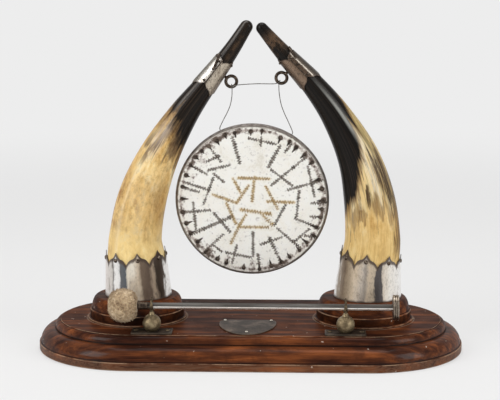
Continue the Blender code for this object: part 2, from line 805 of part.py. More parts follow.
def build_wire(name, parent):
    left = leg_points("left") + wrap_points("left")
    right = leg_points("right") + wrap_points("right")
    right.reverse()
    crest = (left[-1] + right[0]) / 2.0 + UP * WIRE_LEVEL_BOW
    path = smooth_path(left + [crest] + right, 0.0038)
    curve = bpy.data.curves.new(name, "CURVE")
    curve.dimensions = "3D"
    curve.bevel_depth = WIRE_RADIUS
    curve.bevel_resolution = 1
    curve.use_fill_caps = True
    spline = curve.splines.new("POLY")
    spline.points.add(len(path) - 1)
    origin = world_place(parent)
    for point, place in zip(spline.points, path):
        point.co = (*(place - origin), 1.0)
    curve.materials.append(MATERIALS["dark_iron"])
    wire = bpy.data.objects.new(name, curve)
    bpy.context.collection.objects.link(wire)
    set_place(wire, origin, parent)
    return wire


# Fixing screws

def fixing_axis(side):
    foot = horn_frame(side, 0.0)[0]
    return Matrix.Translation((foot.x, 0.0, 0.0))


def fixing_bore(name, side):
    shoulder = FIXING_RECESS + FIXING_HEAD_HEIGHT + SEAT_GAP
    radius = FIXING_SHANK_RADIUS + BORE_GAP
    top = HORN_FOOT + FIXING_REACH + BORE_GAP
    profile = [
        (0.0, -SEAT_GAP),
        (COUNTERBORE_RADIUS, -SEAT_GAP),
        (COUNTERBORE_RADIUS, shoulder),
        (radius, shoulder),
        (radius, top),
        (0.0, top),
    ]
    return add_cutter(name, profile, 12, fixing_axis(side))


def build_fixing_screw(name, side):
    head_top = FIXING_RECESS + FIXING_HEAD_HEIGHT
    tip = HORN_FOOT + FIXING_REACH
    profile = [
        (0.0, FIXING_RECESS),
        (FIXING_HEAD_RADIUS, FIXING_RECESS),
        (FIXING_HEAD_RADIUS, head_top),
        (FIXING_SHANK_RADIUS, head_top),
        (FIXING_SHANK_RADIUS, tip - FIXING_SHANK_RADIUS * 2.0),
        (0.0, tip),
    ]
    screw = add_turned(name, profile, 12, fixing_axis(side), MATERIALS["dark_iron"])
    return screw


# Ball rests

def rest_place(side):
    return Vector((SIDES[side] * REST_X[side], REST_Y, 0.0))


def rest_screw_places(side):
    middle = rest_place(side) + UP * BALL_BASE
    step = ACROSS * (SIDES[side] * REST_SCREW_SPACING / 2.0)
    return {"inner": middle - step, "outer": middle + step}


def build_rest_plate(name, side):
    bm = bmesh.new()
    bmesh.ops.create_cube(bm, size=1.0)
    size = Matrix.Diagonal((REST_PLATE_LENGTH, REST_PLATE_WIDTH, REST_PLATE_THICKNESS, 1.0))
    middle = rest_place(side) + UP * (PLATE_BASE + REST_PLATE_THICKNESS / 2.0)
    bmesh.ops.transform(bm, matrix=Matrix.Translation(middle) @ size, verts=bm.verts)
    upright = [e for e in bm.edges if abs(e.verts[0].co.z - e.verts[1].co.z) > REST_PLATE_THICKNESS / 2.0]
    bmesh.ops.bevel(bm, geom=upright, offset=0.002, segments=2, affect="EDGES", profile=0.5)
    return add_solid(name, bm, MATERIALS["brass"], middle, sharp=30.0)


def add_pin(name, place, shank_radius, head_radius, head_height, length, material):
    # A round-headed pin or screw; place is where the underside of its head lies
    profile = [
        (0.0, -length),
        (shank_radius, shank_radius - length),
        (shank_radius, 0.0),
        (head_radius, 0.0),
        (head_radius * 0.75, head_height * 0.7),
        (0.0, head_height),
    ]
    return add_turned(name, profile, 10, Matrix.Translation(place), material)


def pin_bore(name, place, shank_radius, length, solids):
    # A blind bore for a pin whose head lies at place, through every piece that it passes
    low = -length - BORE_GAP
    profile = rod_profile(shank_radius + BORE_GAP, low, BORE_GAP)
    bore = add_cutter(name, profile, 10, Matrix.Translation(place))
    for solid in solids:
        combine(solid, bore)


def build_rest_ball(name, side):
    # A turned ball on a small foot, with a spigot below and a bored neck on top for the fork's stem
    mouth = FORK_STEM_RADIUS + BORE_GAP
    low = -math.acos(BALL_FOOT_RADIUS / BALL_RADIUS)
    high = math.acos(BALL_NECK_RADIUS / BALL_RADIUS)
    profile = [
        (0.0, BALL_BASE - BALL_SPIGOT_LENGTH),
        (BALL_SPIGOT_RADIUS, BALL_BASE - BALL_SPIGOT_LENGTH),
        (BALL_SPIGOT_RADIUS, BALL_BASE),
        (BALL_FOOT_RADIUS, BALL_BASE),
    ]
    steps = 7
    for i in range(steps + 1):
        turn = low + (high - low) * i / steps
        profile.append((BALL_RADIUS * math.cos(turn), BALL_CENTRE + BALL_RADIUS * math.sin(turn)))
    bottom = FORK_BASE - FORK_STEM_DEPTH - BORE_GAP
    profile += [(BALL_LIP_RADIUS, BALL_LIP), (mouth, BALL_LIP), (mouth, bottom), (0.0, bottom)]
    return add_turned(name, profile, 16, Matrix.Translation(rest_place(side)), MATERIALS["brass"])


def fork_path():
    # The fork's middle line in its own upright plane, from the front tip round to the back tip
    radius = ROD_RADIUS + SEAT_GAP + FORK_THICKNESS / 2.0
    tip = FORK_REACH + ROD_RADIUS
    steps = 8
    path = [(-radius, tip), (-radius, tip * 0.5)]
    for i in range(steps + 1):
        turn = math.pi + math.pi * i / steps
        path.append((radius * math.cos(turn), radius * math.sin(turn)))
    return path + [(radius, tip * 0.5), (radius, tip)]


def build_rest_fork(name, side):
    # A strip bent to a U, widest under the rod and drawn out to two narrow tips, on a round stem
    base = rest_place(side) + UP * ROD_HEIGHT
    path = fork_path()
    middle = (len(path) - 1) / 2.0
    rings = []
    for index, (back, up) in enumerate(path):
        before = path[max(0, index - 1)]
        after = path[min(len(path) - 1, index + 1)]
        run = Vector((0.0, after[0] - before[0], after[1] - before[1])).normalized()
        across = Vector((0.0, -run.z, run.y)) * (FORK_THICKNESS / 2.0)
        away = abs(index - middle) / middle
        half = (FORK_ROOT_WIDTH + (FORK_TIP_WIDTH - FORK_ROOT_WIDTH) * away ** 0.8) / 2.0
        centre = base + Vector((0.0, back, up))
        side_step = ACROSS * half
        rings.append([
            centre - side_step - across,
            centre + side_step - across,
            centre + side_step + across,
            centre - side_step + across,
        ])
    bm = bmesh.new()
    draw_loft(bm, rings)
    fork = add_solid(name, bm, MATERIALS["brass"], base, sharp=35.0)
    root = FORK_BASE + FORK_THICKNESS * 0.5
    profile = rod_profile(FORK_STEM_RADIUS, FORK_BASE - FORK_STEM_DEPTH, root)
    stem = add_cutter(name + "_stem_tool", profile, 10, Matrix.Translation(rest_place(side)))
    combine(fork, stem, "UNION")
    return fork


# Beater

def beater_axis(x):
    return along(Vector((x, REST_Y, ROD_HEIGHT)), ACROSS)


def head_face():
    return BEATER_HEAD_CENTRE + BEATER_HEAD_LENGTH / 2.0


def build_beater(parent):
    # Every piece is turned about the rod's axis; the head is at the left, the cap at the right
    rod_start = head_face() - ROD_IN_HEAD
    rod_end = CAP_FACE + CAP_BORE_DEPTH - BORE_GAP
    profile = rod_profile(ROD_RADIUS, 0.0, rod_end - rod_start)
    add_turned("beater_rod", profile, 16, beater_axis(rod_start), MATERIALS["silver"], parent)
    bore = ROD_RADIUS + BORE_GAP
    half = BEATER_HEAD_LENGTH / 2.0
    bore_end = half - ROD_IN_HEAD - BORE_GAP
    head = [(0.0, -half)]
    steps = 8
    for i in range(1, steps):
        turn = math.pi * i / steps
        swell = math.sin(turn) ** 0.62
        head.append((BEATER_HEAD_RADIUS * swell, -half * math.cos(turn)))
    head += [(bore * 1.6, half), (bore, half), (bore, bore_end), (0.0, bore_end)]
    place = beater_axis(BEATER_HEAD_CENTRE)
    add_turned("beater_head", head, 20, place, MATERIALS["felt"], parent, 60.0)
    start = head_face() + SEAT_GAP
    ferrule = [
        (bore, 0.0),
        (FERRULE_RADIUS + 0.0006, 0.0),
        (FERRULE_RADIUS + 0.0006, FERRULE_LENGTH * 0.2),
        (FERRULE_RADIUS, FERRULE_LENGTH * 0.28),
        (FERRULE_RADIUS, FERRULE_LENGTH * 0.85),
        (FERRULE_RADIUS - 0.0002, FERRULE_LENGTH),
        (bore, FERRULE_LENGTH),
    ]
    bm = bmesh.new()
    rings = turned_rings(ferrule, 16, beater_axis(start))
    loops = [[bm.verts.new(point) for point in ring] for ring in rings]
    for low, high in zip(loops, loops[1:] + loops[:1]):
        join_loops(bm, low, high)
    place = beater_axis(start).translation
    add_solid("beater_ferrule", bm, MATERIALS["dark_iron"], place, parent)
    easing = 0.0012
    cap = [
        (0.0, CAP_BORE_DEPTH),
        (bore, CAP_BORE_DEPTH),
        (bore, 0.0),
        (CAP_RADIUS - easing, 0.0),
        (CAP_RADIUS, easing),
        (CAP_RADIUS, CAP_THICKNESS * 0.42),
        (CAP_RADIUS - easing * 0.6, CAP_THICKNESS * 0.5),
        (CAP_RADIUS, CAP_THICKNESS * 0.58),
        (CAP_RADIUS, CAP_THICKNESS - easing),
        (CAP_RADIUS - easing, CAP_THICKNESS),
        (0.0, CAP_THICKNESS),
    ]
    add_turned("beater_end_cap", cap, 24, beater_axis(CAP_FACE), MATERIALS["silver"], parent)


# Plaque

def plaque_outline():
    # A shield: a flat back edge with drawn-in corners, and two sides that curve to a point in front
    half = PLAQUE_WIDTH / 2.0
    shoulder = PLAQUE_LENGTH * 0.28
    points = [(-half * 0.80, 0.0), (half * 0.80, 0.0), (half * 0.93, -shoulder * 0.18)]
    steps = 7
    right = [(half, -shoulder * 0.45)]
    for i in range(1, steps):
        turn = 0.5 * math.pi * i / steps
        x = half * math.cos(turn)
        y = -shoulder - (PLAQUE_LENGTH - shoulder) * math.sin(turn) ** 1.25
        right.append((x, y))
    left = [(-x, y) for x, y in reversed(right)]
    points += right + [(0.0, -PLAQUE_LENGTH)] + left
    points.append((-half * 0.93, -shoulder * 0.18))
    return points


def build_plaque(plinth):
    base = PLINTH_HEIGHT + SEAT_GAP
    rings = []
    for height in (base, base + PLAQUE_THICKNESS):
        rings.append([(PLAQUE_X + x, PLAQUE_BACK + y, height) for x, y in plaque_outline()])
    bm = bmesh.new()
    draw_loft(bm, rings)
    plaque = add_solid("plaque", bm, MATERIALS["pewter"], (PLAQUE_X, PLAQUE_BACK, base), sharp=30.0)
    seat = base + PLAQUE_THICKNESS + SEAT_GAP
    side = PLAQUE_WIDTH / 2.0 - PLAQUE_PIN_INSET
    places = {
        "left": (PLAQUE_X - side, PLAQUE_BACK - PLAQUE_PIN_INSET * 0.6, seat),
        "right": (PLAQUE_X + side, PLAQUE_BACK - PLAQUE_PIN_INSET * 0.6, seat),
        "front": (PLAQUE_X, PLAQUE_BACK - PLAQUE_LENGTH + PLAQUE_TIP_PIN_INSET, seat),
    }
    for end, place in places.items():
        name = "plaque_pin_" + end
        size = (PLAQUE_PIN_HEAD_RADIUS, PLAQUE_PIN_HEAD_HEIGHT, PLAQUE_PIN_LENGTH)
        add_pin(name, place, PLAQUE_PIN_RADIUS, *size, MATERIALS["pin_silver"])
        pin_bore(name + "_tool", place, PLAQUE_PIN_RADIUS, PLAQUE_PIN_LENGTH, (plinth, plaque))
    return plaque


# Assembly

def build_side(side, plinth):
    socle = build_socle(side + "_socle", side)
    horn = build_horn(side + "_horn", side)
    core = build_core(side + "_horn_core", side)
    build_fixing_screw(side + "_fixing_screw", side)
    bore = fixing_bore(side + "_fixing_tool", side)
    for solid in (plinth, socle, core):
        combine(solid, bore)
    build_base_collar(side + "_base_collar", side)
    tip_collar = build_tip_collar(side + "_tip_collar", side)
    build_ring_eye(side + "_ring_eye", side)
    eye_bore = eye_cutter(side + "_eye_tool", side)
    combine(horn, eye_bore)
    combine(tip_collar, eye_bore)
    build_rest(side, plinth)


def build_rest(side, plinth):
    plate = build_rest_plate(side + "_rest_plate", side)
    build_rest_ball(side + "_rest_ball", side)
    build_rest_fork(side + "_rest_fork", side)
    through = (plinth, plate)
    seat = rest_place(side) + UP * BALL_BASE
    pin_bore(side + "_spigot_tool", seat, BALL_SPIGOT_RADIUS, BALL_SPIGOT_LENGTH, through)
    for end, place in rest_screw_places(side).items():
        name = side + "_rest_screw_" + end
        size = (REST_SCREW_HEAD_RADIUS, REST_SCREW_HEAD_HEIGHT, REST_SCREW_LENGTH)
        add_pin(name, place, REST_SCREW_RADIUS, *size, MATERIALS["brass"])
        pin_bore(name + "_tool", place, REST_SCREW_RADIUS, REST_SCREW_LENGTH, through)


def build_table_gong():
    plinth = build_plinth()
    for side in SIDES:
        build_side(side, plinth)
    build_plaque(plinth)
    swing_axis = add_empty("swing_axis", (eye_contact("left") + eye_contact("right")) / 2.0)
    build_wire("hanging_wire", swing_axis)
    tilt_axis = add_empty("tilt_axis", (rim_hole("left") + rim_hole("right")) / 2.0, swing_axis)
    build_gong("gong", tilt_axis)
    beater_line = add_empty("beater_line", Vector((0.0, REST_Y, ROD_HEIGHT)))
    build_beater(beater_line)


clear_scene()
MATERIALS = make_materials()
build_table_gong()
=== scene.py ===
import math
import random

import bmesh
import bpy
import numpy as np
from mathutils import Matrix, Vector, noise


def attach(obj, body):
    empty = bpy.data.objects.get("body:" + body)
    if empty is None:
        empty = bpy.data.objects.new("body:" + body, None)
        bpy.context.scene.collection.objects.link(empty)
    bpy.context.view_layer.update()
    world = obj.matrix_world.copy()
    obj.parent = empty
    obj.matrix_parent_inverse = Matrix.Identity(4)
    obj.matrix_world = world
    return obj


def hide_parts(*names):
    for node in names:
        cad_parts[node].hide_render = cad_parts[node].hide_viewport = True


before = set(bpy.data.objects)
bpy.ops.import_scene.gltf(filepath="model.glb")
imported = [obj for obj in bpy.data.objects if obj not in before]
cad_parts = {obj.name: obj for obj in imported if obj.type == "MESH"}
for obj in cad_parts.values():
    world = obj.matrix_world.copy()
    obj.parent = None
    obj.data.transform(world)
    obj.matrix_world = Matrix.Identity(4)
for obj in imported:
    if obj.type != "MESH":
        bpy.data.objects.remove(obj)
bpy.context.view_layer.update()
front = Vector((0.0, -1.0, 0.0))
upward = Vector((0.0, 0.0, 1.0))
across = Vector((1.0, 0.0, 0.0))
sideSign = {"left": -1.0, "right": 1.0}
seatGap = 0.0003    # pieces that seat on each other stand this far apart, as the solids do
print("frame loaded:", len(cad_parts), "nodes")


# Fields: a wrapped socket that can be added, scaled and mixed
class Field:
    def __init__(self, tree, socket=None):
        self.tree = tree
        self.socket = socket

    def node(self, kind, settings=None, sockets=None, out=0):
        made = self.tree.nodes.new(kind)
        for name, value in (settings or {}).items():
            if name == "stops":
                placeStops(made.color_ramp, value)
            else:
                setattr(made, name, value)
        for name, value in (sockets or {}).items():
            if isinstance(value, Field):
                self.tree.links.new(value.socket, made.inputs[name])
            else:
                made.inputs[name].default_value = value
        return None if out is None else Field(self.tree, made.outputs[out])

    def calc(self, operation, *values):
        return self.node("ShaderNodeMath", {"operation": operation}, dict(enumerate(values)))

    def __add__(self, other):
        return self.calc("ADD", self, other)

    def __radd__(self, other):
        return self.calc("ADD", other, self)

    def __sub__(self, other):
        return self.calc("SUBTRACT", self, other)

    def __rsub__(self, other):
        return self.calc("SUBTRACT", other, self)

    def __mul__(self, other):
        return self.calc("MULTIPLY", self, other)

    def __rmul__(self, other):
        return self.calc("MULTIPLY", other, self)

    def __truediv__(self, other):
        return self.calc("DIVIDE", self, other)

    def step(self, low, high):
        # 0 below low and 1 above high, smooth between
        return self.node("ShaderNodeMapRange", {"interpolation_type": "SMOOTHSTEP"},
                         {"Value": self, "From Min": low, "From Max": high})

    def hump(self, middle, width):
        # 1 at the middle, 0 beyond the width on both sides
        return 1.0 - (self - middle).size().step(0.0, width)

    def stretched(self, scale, shift=(0.0, 0.0, 0.0)):
        return self.node("ShaderNodeMapping", {}, {
            "Vector": self, "Scale": scale, "Location": shift})

    def moved(self, *shift):
        return self.stretched((1.0, 1.0, 1.0), shift)

    def cloud(self, scale, detail=4.0, roughness=0.55, warp=0.0):
        return self.node("ShaderNodeTexNoise", {}, {
            "Vector": self, "Scale": scale, "Detail": detail, "Roughness": roughness,
            "Distortion": warp})

    def over(self, base, colour):
        # self is the share of the second colour
        return self.node("ShaderNodeMix", {"data_type": "RGBA"}, {0: self, 6: base, 7: colour}, 2)

    def lay(self, mask, share, *paint):
        # this colour with a share of the paint on it, where the mask is 1
        return (mask * share).over(self, tone(*paint))

    def ramp(self, *stops):
        return self.node("ShaderNodeValToRGB", {"stops": stops}, {0: self})

    def bump(self, strength, distance):
        return self.node("ShaderNodeBump", {}, {
            "Strength": strength, "Distance": distance, "Height": self})

    def part(self, axis):
        return self.node("ShaderNodeSeparateXYZ", {}, {0: self}, axis)

    def size(self):
        return self.calc("ABSOLUTE", self)

    def vector(self, operation, *values, out=0):
        return self.node("ShaderNodeVectorMath", {"operation": operation},
                         dict(enumerate((self, *values))), out)

    def length(self):
        return self.vector("LENGTH", out=1)


def placeStops(ramp, stops):
    # a stop is its place and its red, green and blue
    for index, (place, *paint) in enumerate(stops):
        stop = ramp.elements[index] if index < 2 else ramp.elements.new(place)
        stop.position = place
        stop.color = tone(*paint)


def tone(red, green, blue):
    # a colour as a screen shows it, turned into light
    light = [((c / 255 + 0.055) / 1.055) ** 2.4 if c > 10 else c / 3294.6
             for c in (red, green, blue)]
    return (*light, 1.0)


def startFinish(name):
    material = bpy.data.materials.new(name)
    material.use_nodes = True
    material.node_tree.nodes.clear()
    blank = Field(material.node_tree)
    return material, blank.node("ShaderNodeTexCoord", out="Object")


def plugSurface(surface, output="ShaderNodeOutputMaterial"):
    surface.node(output, {}, {"Surface": surface}, None)


def closeFinish(material, spot, sockets):
    plugSurface(spot.node("ShaderNodeBsdfPrincipled", {}, sockets))
    return material


def carried(spot, name):
    # a number that the mesh carries at its points
    return spot.node("ShaderNodeAttribute", {"attribute_name": name}, out="Fac")


# Mesh helpers
def skinRings(rings, heights, loop=False):
    # faces between rings of points; a ring of one point closes an end, and loop joins both ends
    shape = bmesh.new()
    mapLayer = shape.loops.layers.uv.new("wrap")
    loops = [[shape.verts.new(point) for point in ring] for ring in rings]
    for k in range(len(loops) if loop else len(loops) - 1):
        above = (k + 1) % len(loops)
        low, high = loops[k], loops[above]
        count = max(len(low), len(high))
        for i in range(count):
            corners = [(low, i, k), (low, i + 1, k), (high, i + 1, above), (high, i, above)]
            if len(low) == 1:
                corners.pop(1)
            if len(high) == 1:
                corners.pop(2)
            face = shape.faces.new([ring[n % len(ring)] for ring, n, row in corners])
            for corner, (ring, n, row) in zip(face.loops, corners):
                corner[mapLayer].uv = (n / count, heights[row])
    return shape, loops


def closeShape(name, shape):
    mesh = bpy.data.meshes.new(name)
    shape.to_mesh(mesh)
    shape.free()
    return mesh


def carryNumbers(mesh, carry):
    for label, values in carry.items():
        mesh.attributes.new(label, "FLOAT", "POINT").data.foreach_set("value", values)


def loftMesh(name, rings, heights=None, carry=None, loop=False, sharp=35.0):
    # a closed skin; carry holds a number for every ring
    heights = heights or [k / max(1, len(rings) - 1) for k in range(len(rings))]
    shape, loops = skinRings(rings, heights, loop)
    if not loop:
        for ring in (loops[0], loops[-1]):
            if len(ring) > 1:
                shape.faces.new(ring)
    bmesh.ops.recalc_face_normals(shape, faces=shape.faces)
    mesh = closeShape(name, shape)
    carryNumbers(mesh, {label: [value for value, ring in zip(values, rings) for point in ring]
                        for label, values in (carry or {}).items()})
    softenMesh(mesh, sharp)
    return mesh


def softenMesh(mesh, sharp=35.0):
    mesh.shade_smooth()
    mesh.set_sharp_from_angle(angle=math.radians(sharp))


def paintMesh(mesh, finish, sharp=None):
    mesh.materials.clear()
    mesh.materials.append(finish)
    if sharp:
        softenMesh(mesh, sharp)


def showMesh(name, mesh, finish=None):
    piece = bpy.data.objects.new(name, mesh)
    bpy.context.scene.collection.objects.link(piece)
    if finish:
        paintMesh(mesh, finish)
    return piece


def settle(piece):
    # the modifiers' result becomes the piece's own plain mesh
    bpy.context.view_layer.update()
    graph = bpy.context.evaluated_depsgraph_get()
    mesh = bpy.data.meshes.new_from_object(
        piece.evaluated_get(graph), preserve_all_data_layers=True, depsgraph=graph)
    piece.modifiers.clear()
    piece.data = mesh


def cutAway(piece, tool, operation="DIFFERENCE"):
    cutter = piece.modifiers.new("cut", "BOOLEAN")
    cutter.operation = operation
    cutter.solver = "EXACT"
    cutter.object = tool
    settle(piece)
    bpy.data.objects.remove(tool)


def dress(piece, body, slotName, *nodes):
    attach(piece, body)
    if nodes:
        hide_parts(*nodes)


def alongFrame(start, direction):
    return Matrix.Translation(start) @ direction.to_track_quat("Z", "Y").to_matrix().to_4x4()


def easeCorners(points, reach):
    # Rounds the corners of a turned outline. Rows are (radius, height, edge, hollow): edge is 1 on
    # a rounded arris and hollow is 1 in a rounded inner corner
    rows, steps = [(*points[0], 0.0, 0.0)], 4
    for before, point, after in zip(points, points[1:], points[2:]):
        here = Vector(point)
        inRun, outRun = here - Vector(before), Vector(after) - here
        bend = math.atan2(inRun.x * outRun.y - inRun.y * outRun.x, inRun.dot(outRun))
        if abs(bend) < math.radians(18.0):
            rows.append((*point, 0.0, 0.0))
            continue
        soft = min(reach, inRun.length / 2.3, outRun.length / 2.3)
        guard = soft * 2.0
        start, end = here - inRun.normalized() * soft, here + outRun.normalized() * soft
        if inRun.length > guard * 1.6:
            rows.append((*(here - inRun.normalized() * guard), 0.0, 0.0))
        for i in range(steps + 1):
            t = i / steps
            spot = start * (1 - t) ** 2 + here * (2 * t * (1 - t)) + end * t ** 2
            strength = 0.35 + 2.6 * t * (1 - t)
            rows.append((*spot, strength if bend > 0 else 0.0, strength if bend < 0 else 0.0))
        if outRun.length > guard * 1.6:
            rows.append((*(here + outRun.normalized() * guard), 0.0, 0.0))
    rows.append((*points[-1], 0.0, 0.0))
    return rows


def turnRings(rows, sides, place):
    rings = []
    for radius, height, *rest in rows:
        turns = [2 * math.pi * i / sides for i in range(sides)] if radius >= 1e-7 else [0.0]
        rings.append([place @ Vector((radius * math.cos(turn), radius * math.sin(turn), height))
                      for turn in turns])
    return rings


def cornerMarks(rows):
    return {"edge": [row[2] for row in rows], "hollow": [row[3] for row in rows]}


def turnPiece(name, points, place, sides, ease=0.0003, sharp=35.0, finish=None):
    rows = easeCorners(points, ease)
    heights = [row[1] for row in rows]
    mesh = loftMesh(name, turnRings(rows, sides, place), heights, cornerMarks(rows), sharp=sharp)
    return showMesh(name, mesh, finish)


def rodOutline(radius, low, high):
    return [(0.0, low), (radius, low), (radius, high), (0.0, high)]


def arcPoints(start, end, steps, riseFirst):
    # a quarter ellipse, leaving start upwards if riseFirst is set
    points = []
    for i in range(1, steps + 1):
        turn = 0.5 * math.pi * i / steps
        slow, fast = 1.0 - math.cos(turn), math.sin(turn)
        first, second = (slow, fast) if riseFirst else (fast, slow)
        points.append((start[0] + (end[0] - start[0]) * first,
                       start[1] + (end[1] - start[1]) * second))
    return points


# Geometry node trees
def startTree(name, **inputs):
    tree = bpy.data.node_groups.new(name, "GeometryNodeTree")
    tree.interface.new_socket(name="Geometry", in_out="INPUT", socket_type="NodeSocketGeometry")
    tree.interface.new_socket(name="Geometry", in_out="OUTPUT", socket_type="NodeSocketGeometry")
    for label, kind in inputs.items():
        tree.interface.new_socket(name=label, in_out="INPUT", socket_type="NodeSocket" + kind)
    tree.interface.new_socket(name="finish", in_out="INPUT", socket_type="NodeSocketMaterial")
    entry = tree.nodes.new("NodeGroupInput")
    return tree, {socket.name: Field(tree, socket) for socket in entry.outputs if socket.name}


def closeTree(tree, shape, given):
    whole = shape.node("GeometryNodeRealizeInstances", {}, {0: shape})
    painted = whole.node("GeometryNodeSetMaterial", {}, {
        "Geometry": whole, "Material": given["finish"]})
    painted.node("NodeGroupOutput", {}, {0: painted}, None)
    return tree


def placeOn(points, thing, turn, size):
    return points.node("GeometryNodeInstanceOnPoints", {}, {
        "Points": points, "Instance": thing, "Rotation": turn, "Scale": size})


def pointMark(spot, name, kind="FLOAT"):
    # a number or a direction that the mesh carries at its points
    return spot.node("GeometryNodeInputNamedAttribute", {"data_type": kind}, {"Name": name})


def chance(spot, low, high, seed):
    return spot.node("FunctionNodeRandomValue", {"data_type": "FLOAT"}, {
        2: low, 3: high, "Seed": seed}, 1)


def turnTo(way, axis):
    return way.node("FunctionNodeAlignRotationToVector", {"axis": axis}, {"Vector": way})


def joined(x, y, z):
    return x.node("ShaderNodeCombineXYZ", {}, {0: x, 1: y, 2: z})


def smoothBall(spot, segments, rings):
    ball = spot.node("GeometryNodeMeshUVSphere", {}, {
        "Segments": segments, "Rings": rings, "Radius": 1.0})
    return ball.node("GeometryNodeSetShadeSmooth", {}, {"Geometry": ball})


def tubeAlong(line, sides, radius):
    ring = line.node("GeometryNodeCurvePrimitiveCircle", {}, {
        "Resolution": sides, "Radius": radius})
    return line.node("GeometryNodeCurveToMesh", {}, {
        "Curve": line, "Profile Curve": ring, "Fill Caps": True})


def growPiece(name, mesh, tree, place=None, sharp=None, **values):
    piece = showMesh(name, mesh)
    grower = piece.modifiers.new("grow", "NODES")
    grower.node_group = tree
    for item in tree.interface.items_tree:
        if item.in_out == "INPUT" and item.name in values:
            grower[item.identifier] = values[item.name]
    settle(piece)
    if place:
        piece.data.transform(place)
    if sharp:
        softenMesh(piece.data, sharp)
    return piece


def pointMesh(name, points, edges=(), outward=None, carry=None):
    mesh = bpy.data.meshes.new(name)
    mesh.from_pydata([tuple(point) for point in points], list(edges), [])
    carryNumbers(mesh, carry or {})
    if outward:
        flat = [c for way in outward for c in way]
        mesh.attributes.new("outward", "FLOAT_VECTOR", "POINT").data.foreach_set("vector", flat)
    return mesh


def growRivets(name, spots, shape, finish):
    # a head on each spot, which is a place and its outward direction
    mesh = pointMesh(name, [place for place, way in spots], outward=[way for place, way in spots])
    heads = growPiece(name, mesh, rivetHeads, radius=shape["pinRadius"], dome=shape["pinDome"],
                      finish=finish)
    dress(heads, "stand", "collar_silver")


def growWire(name, path, radius, finish, sharp=None):
    mesh = pointMesh(name, path, zip(range(len(path) - 1), range(1, len(path))))
    return growPiece(name, mesh, drawnWire, radius=radius, finish=finish, sharp=sharp)


def rivetTree():
    # a domed head on every point, its flat side along the point's own outward direction
    tree, given = startTree("rivet heads", radius="Float", dome="Float")
    turn = turnTo(pointMark(given["radius"], "outward", "FLOAT_VECTOR"), "Z")
    size = joined(given["radius"], given["radius"], given["dome"])
    return closeTree(tree, placeOn(given["Geometry"], smoothBall(turn, 14, 9), turn, size), given)


def tubeTree():
    # a round wire along a line of points
    tree, given = startTree("drawn wire", radius="Float")
    line = given["Geometry"].node("GeometryNodeMeshToCurve", {}, {0: given["Geometry"]})
    return closeTree(tree, tubeAlong(line, 12, given["radius"]), given)


rivetHeads = rivetTree()
drawnWire = tubeTree()


# Wood
def mahoganyFinish(name, shift, ringed=False):
    material, spot = startFinish(name)
    edge, hollow = carried(spot, "edge"), carried(spot, "hollow")
    figure = spot.stretched((11.0, 130.0, 130.0), shift).cloud(1.0, 6.0, 0.62, 0.5)
    patch = spot.stretched((10.0, 34.0, 34.0), shift).cloud(1.0, 3.0, 0.5, 0.4)
    pores = spot.stretched((60.0, 1300.0, 1300.0), shift).cloud(1.0, 3.0, 0.6)
    grain = figure * 0.60 + patch * 0.40
    colour = grain.ramp(
        (0.36, 38, 19, 13), (0.44, 62, 32, 20), (0.51, 86, 47, 27),
        (0.57, 106, 58, 31), (0.66, 138, 78, 42))
    colour = colour.lay(pores.step(0.50, 0.66), 0.40, 36, 17, 12)
    grime = spot.cloud(36.0, 5.0, 0.6)
    colour = colour.lay(grime.step(0.50, 0.66), 0.45, 42, 24, 18)
    rubbed = edge * spot.moved(4.0, 2.0, 0.0).cloud(55.0, 4.0, 0.6).step(0.36, 0.58)
    colour = colour.lay(rubbed, 0.80, 176, 146, 118)
    height = spot.part(2)
    flat = height.hump(plinthShape["height"], 0.0012)
    ends = spot.part(0).size().step(0.12, 0.22) * (1.0 - height.step(0.030, 0.035))
    if ringed:
        shadowed = height.hump(plinthShape["creaseLevel"], 0.0013)
        shadowed = shadowed + height.hump(plinthShape["stepLevel"], 0.0008) * 0.6
        faded = (1.0 - height.step(0.0085, 0.0095)) * pores.step(0.36, 0.60)
        colour = colour.lay(faded, 0.35, 142, 108, 84)
        # painted shadow: the back of the top board is painted darker, as the shade that falls under
        # the gong
        paintedGongShadow = spot.part(1).step(0.025, 0.075) * flat
        colour = colour.lay(paintedGongShadow, 0.60, 28, 15, 11)
    else:
        low = socleShape["base"] + socleShape["footHeight"]
        shadowed = height.step(low, low + 0.0006) * (1.0 - height.step(low + 0.0080, low + 0.0092))
        shadowed = shadowed * (0.55 + grime.step(0.40, 0.60) * 0.35)
    colour = colour.lay(shadowed, 0.85, 24, 13, 9)
    colour = colour.lay(hollow, 0.95, 12, 7, 6)
    if ringed:
        # wax left round the foot of each socle
        away = spot.part(0).size() - plinthShape["halfSpan"]
        away = away.calc("SQRT", away * away + spot.part(1) * spot.part(1))
        wax = away.hump(socleShape["footRadius"] + 0.0012, 0.0016) * pores.step(0.36, 0.52)
        colour = colour.lay(wax, 0.6, 160, 138, 120)
    nicks = spot.moved(1.3, 0.4, 0.9).cloud(210.0, 1.0, 0.4).step(0.775, 0.80)
    colour = colour.lay(nicks, 0.6, 205, 188, 172)
    relief = figure * 0.10 + pores * 0.06 + spot.cloud(420.0, 2.0) * 0.08
    return closeFinish(material, spot, {
        "Base Color": colour,
        "Roughness": 0.34 + grime * 0.22 + hollow * 0.3,
        "Specular IOR Level": 0.02,
        "Coat Weight": 0.045 + ends * 0.11 - flat * 0.038,
        "Coat Roughness": 0.16,
        "Coat IOR": 1.9,
        "Normal": relief.bump(0.35, 0.0006),
    })


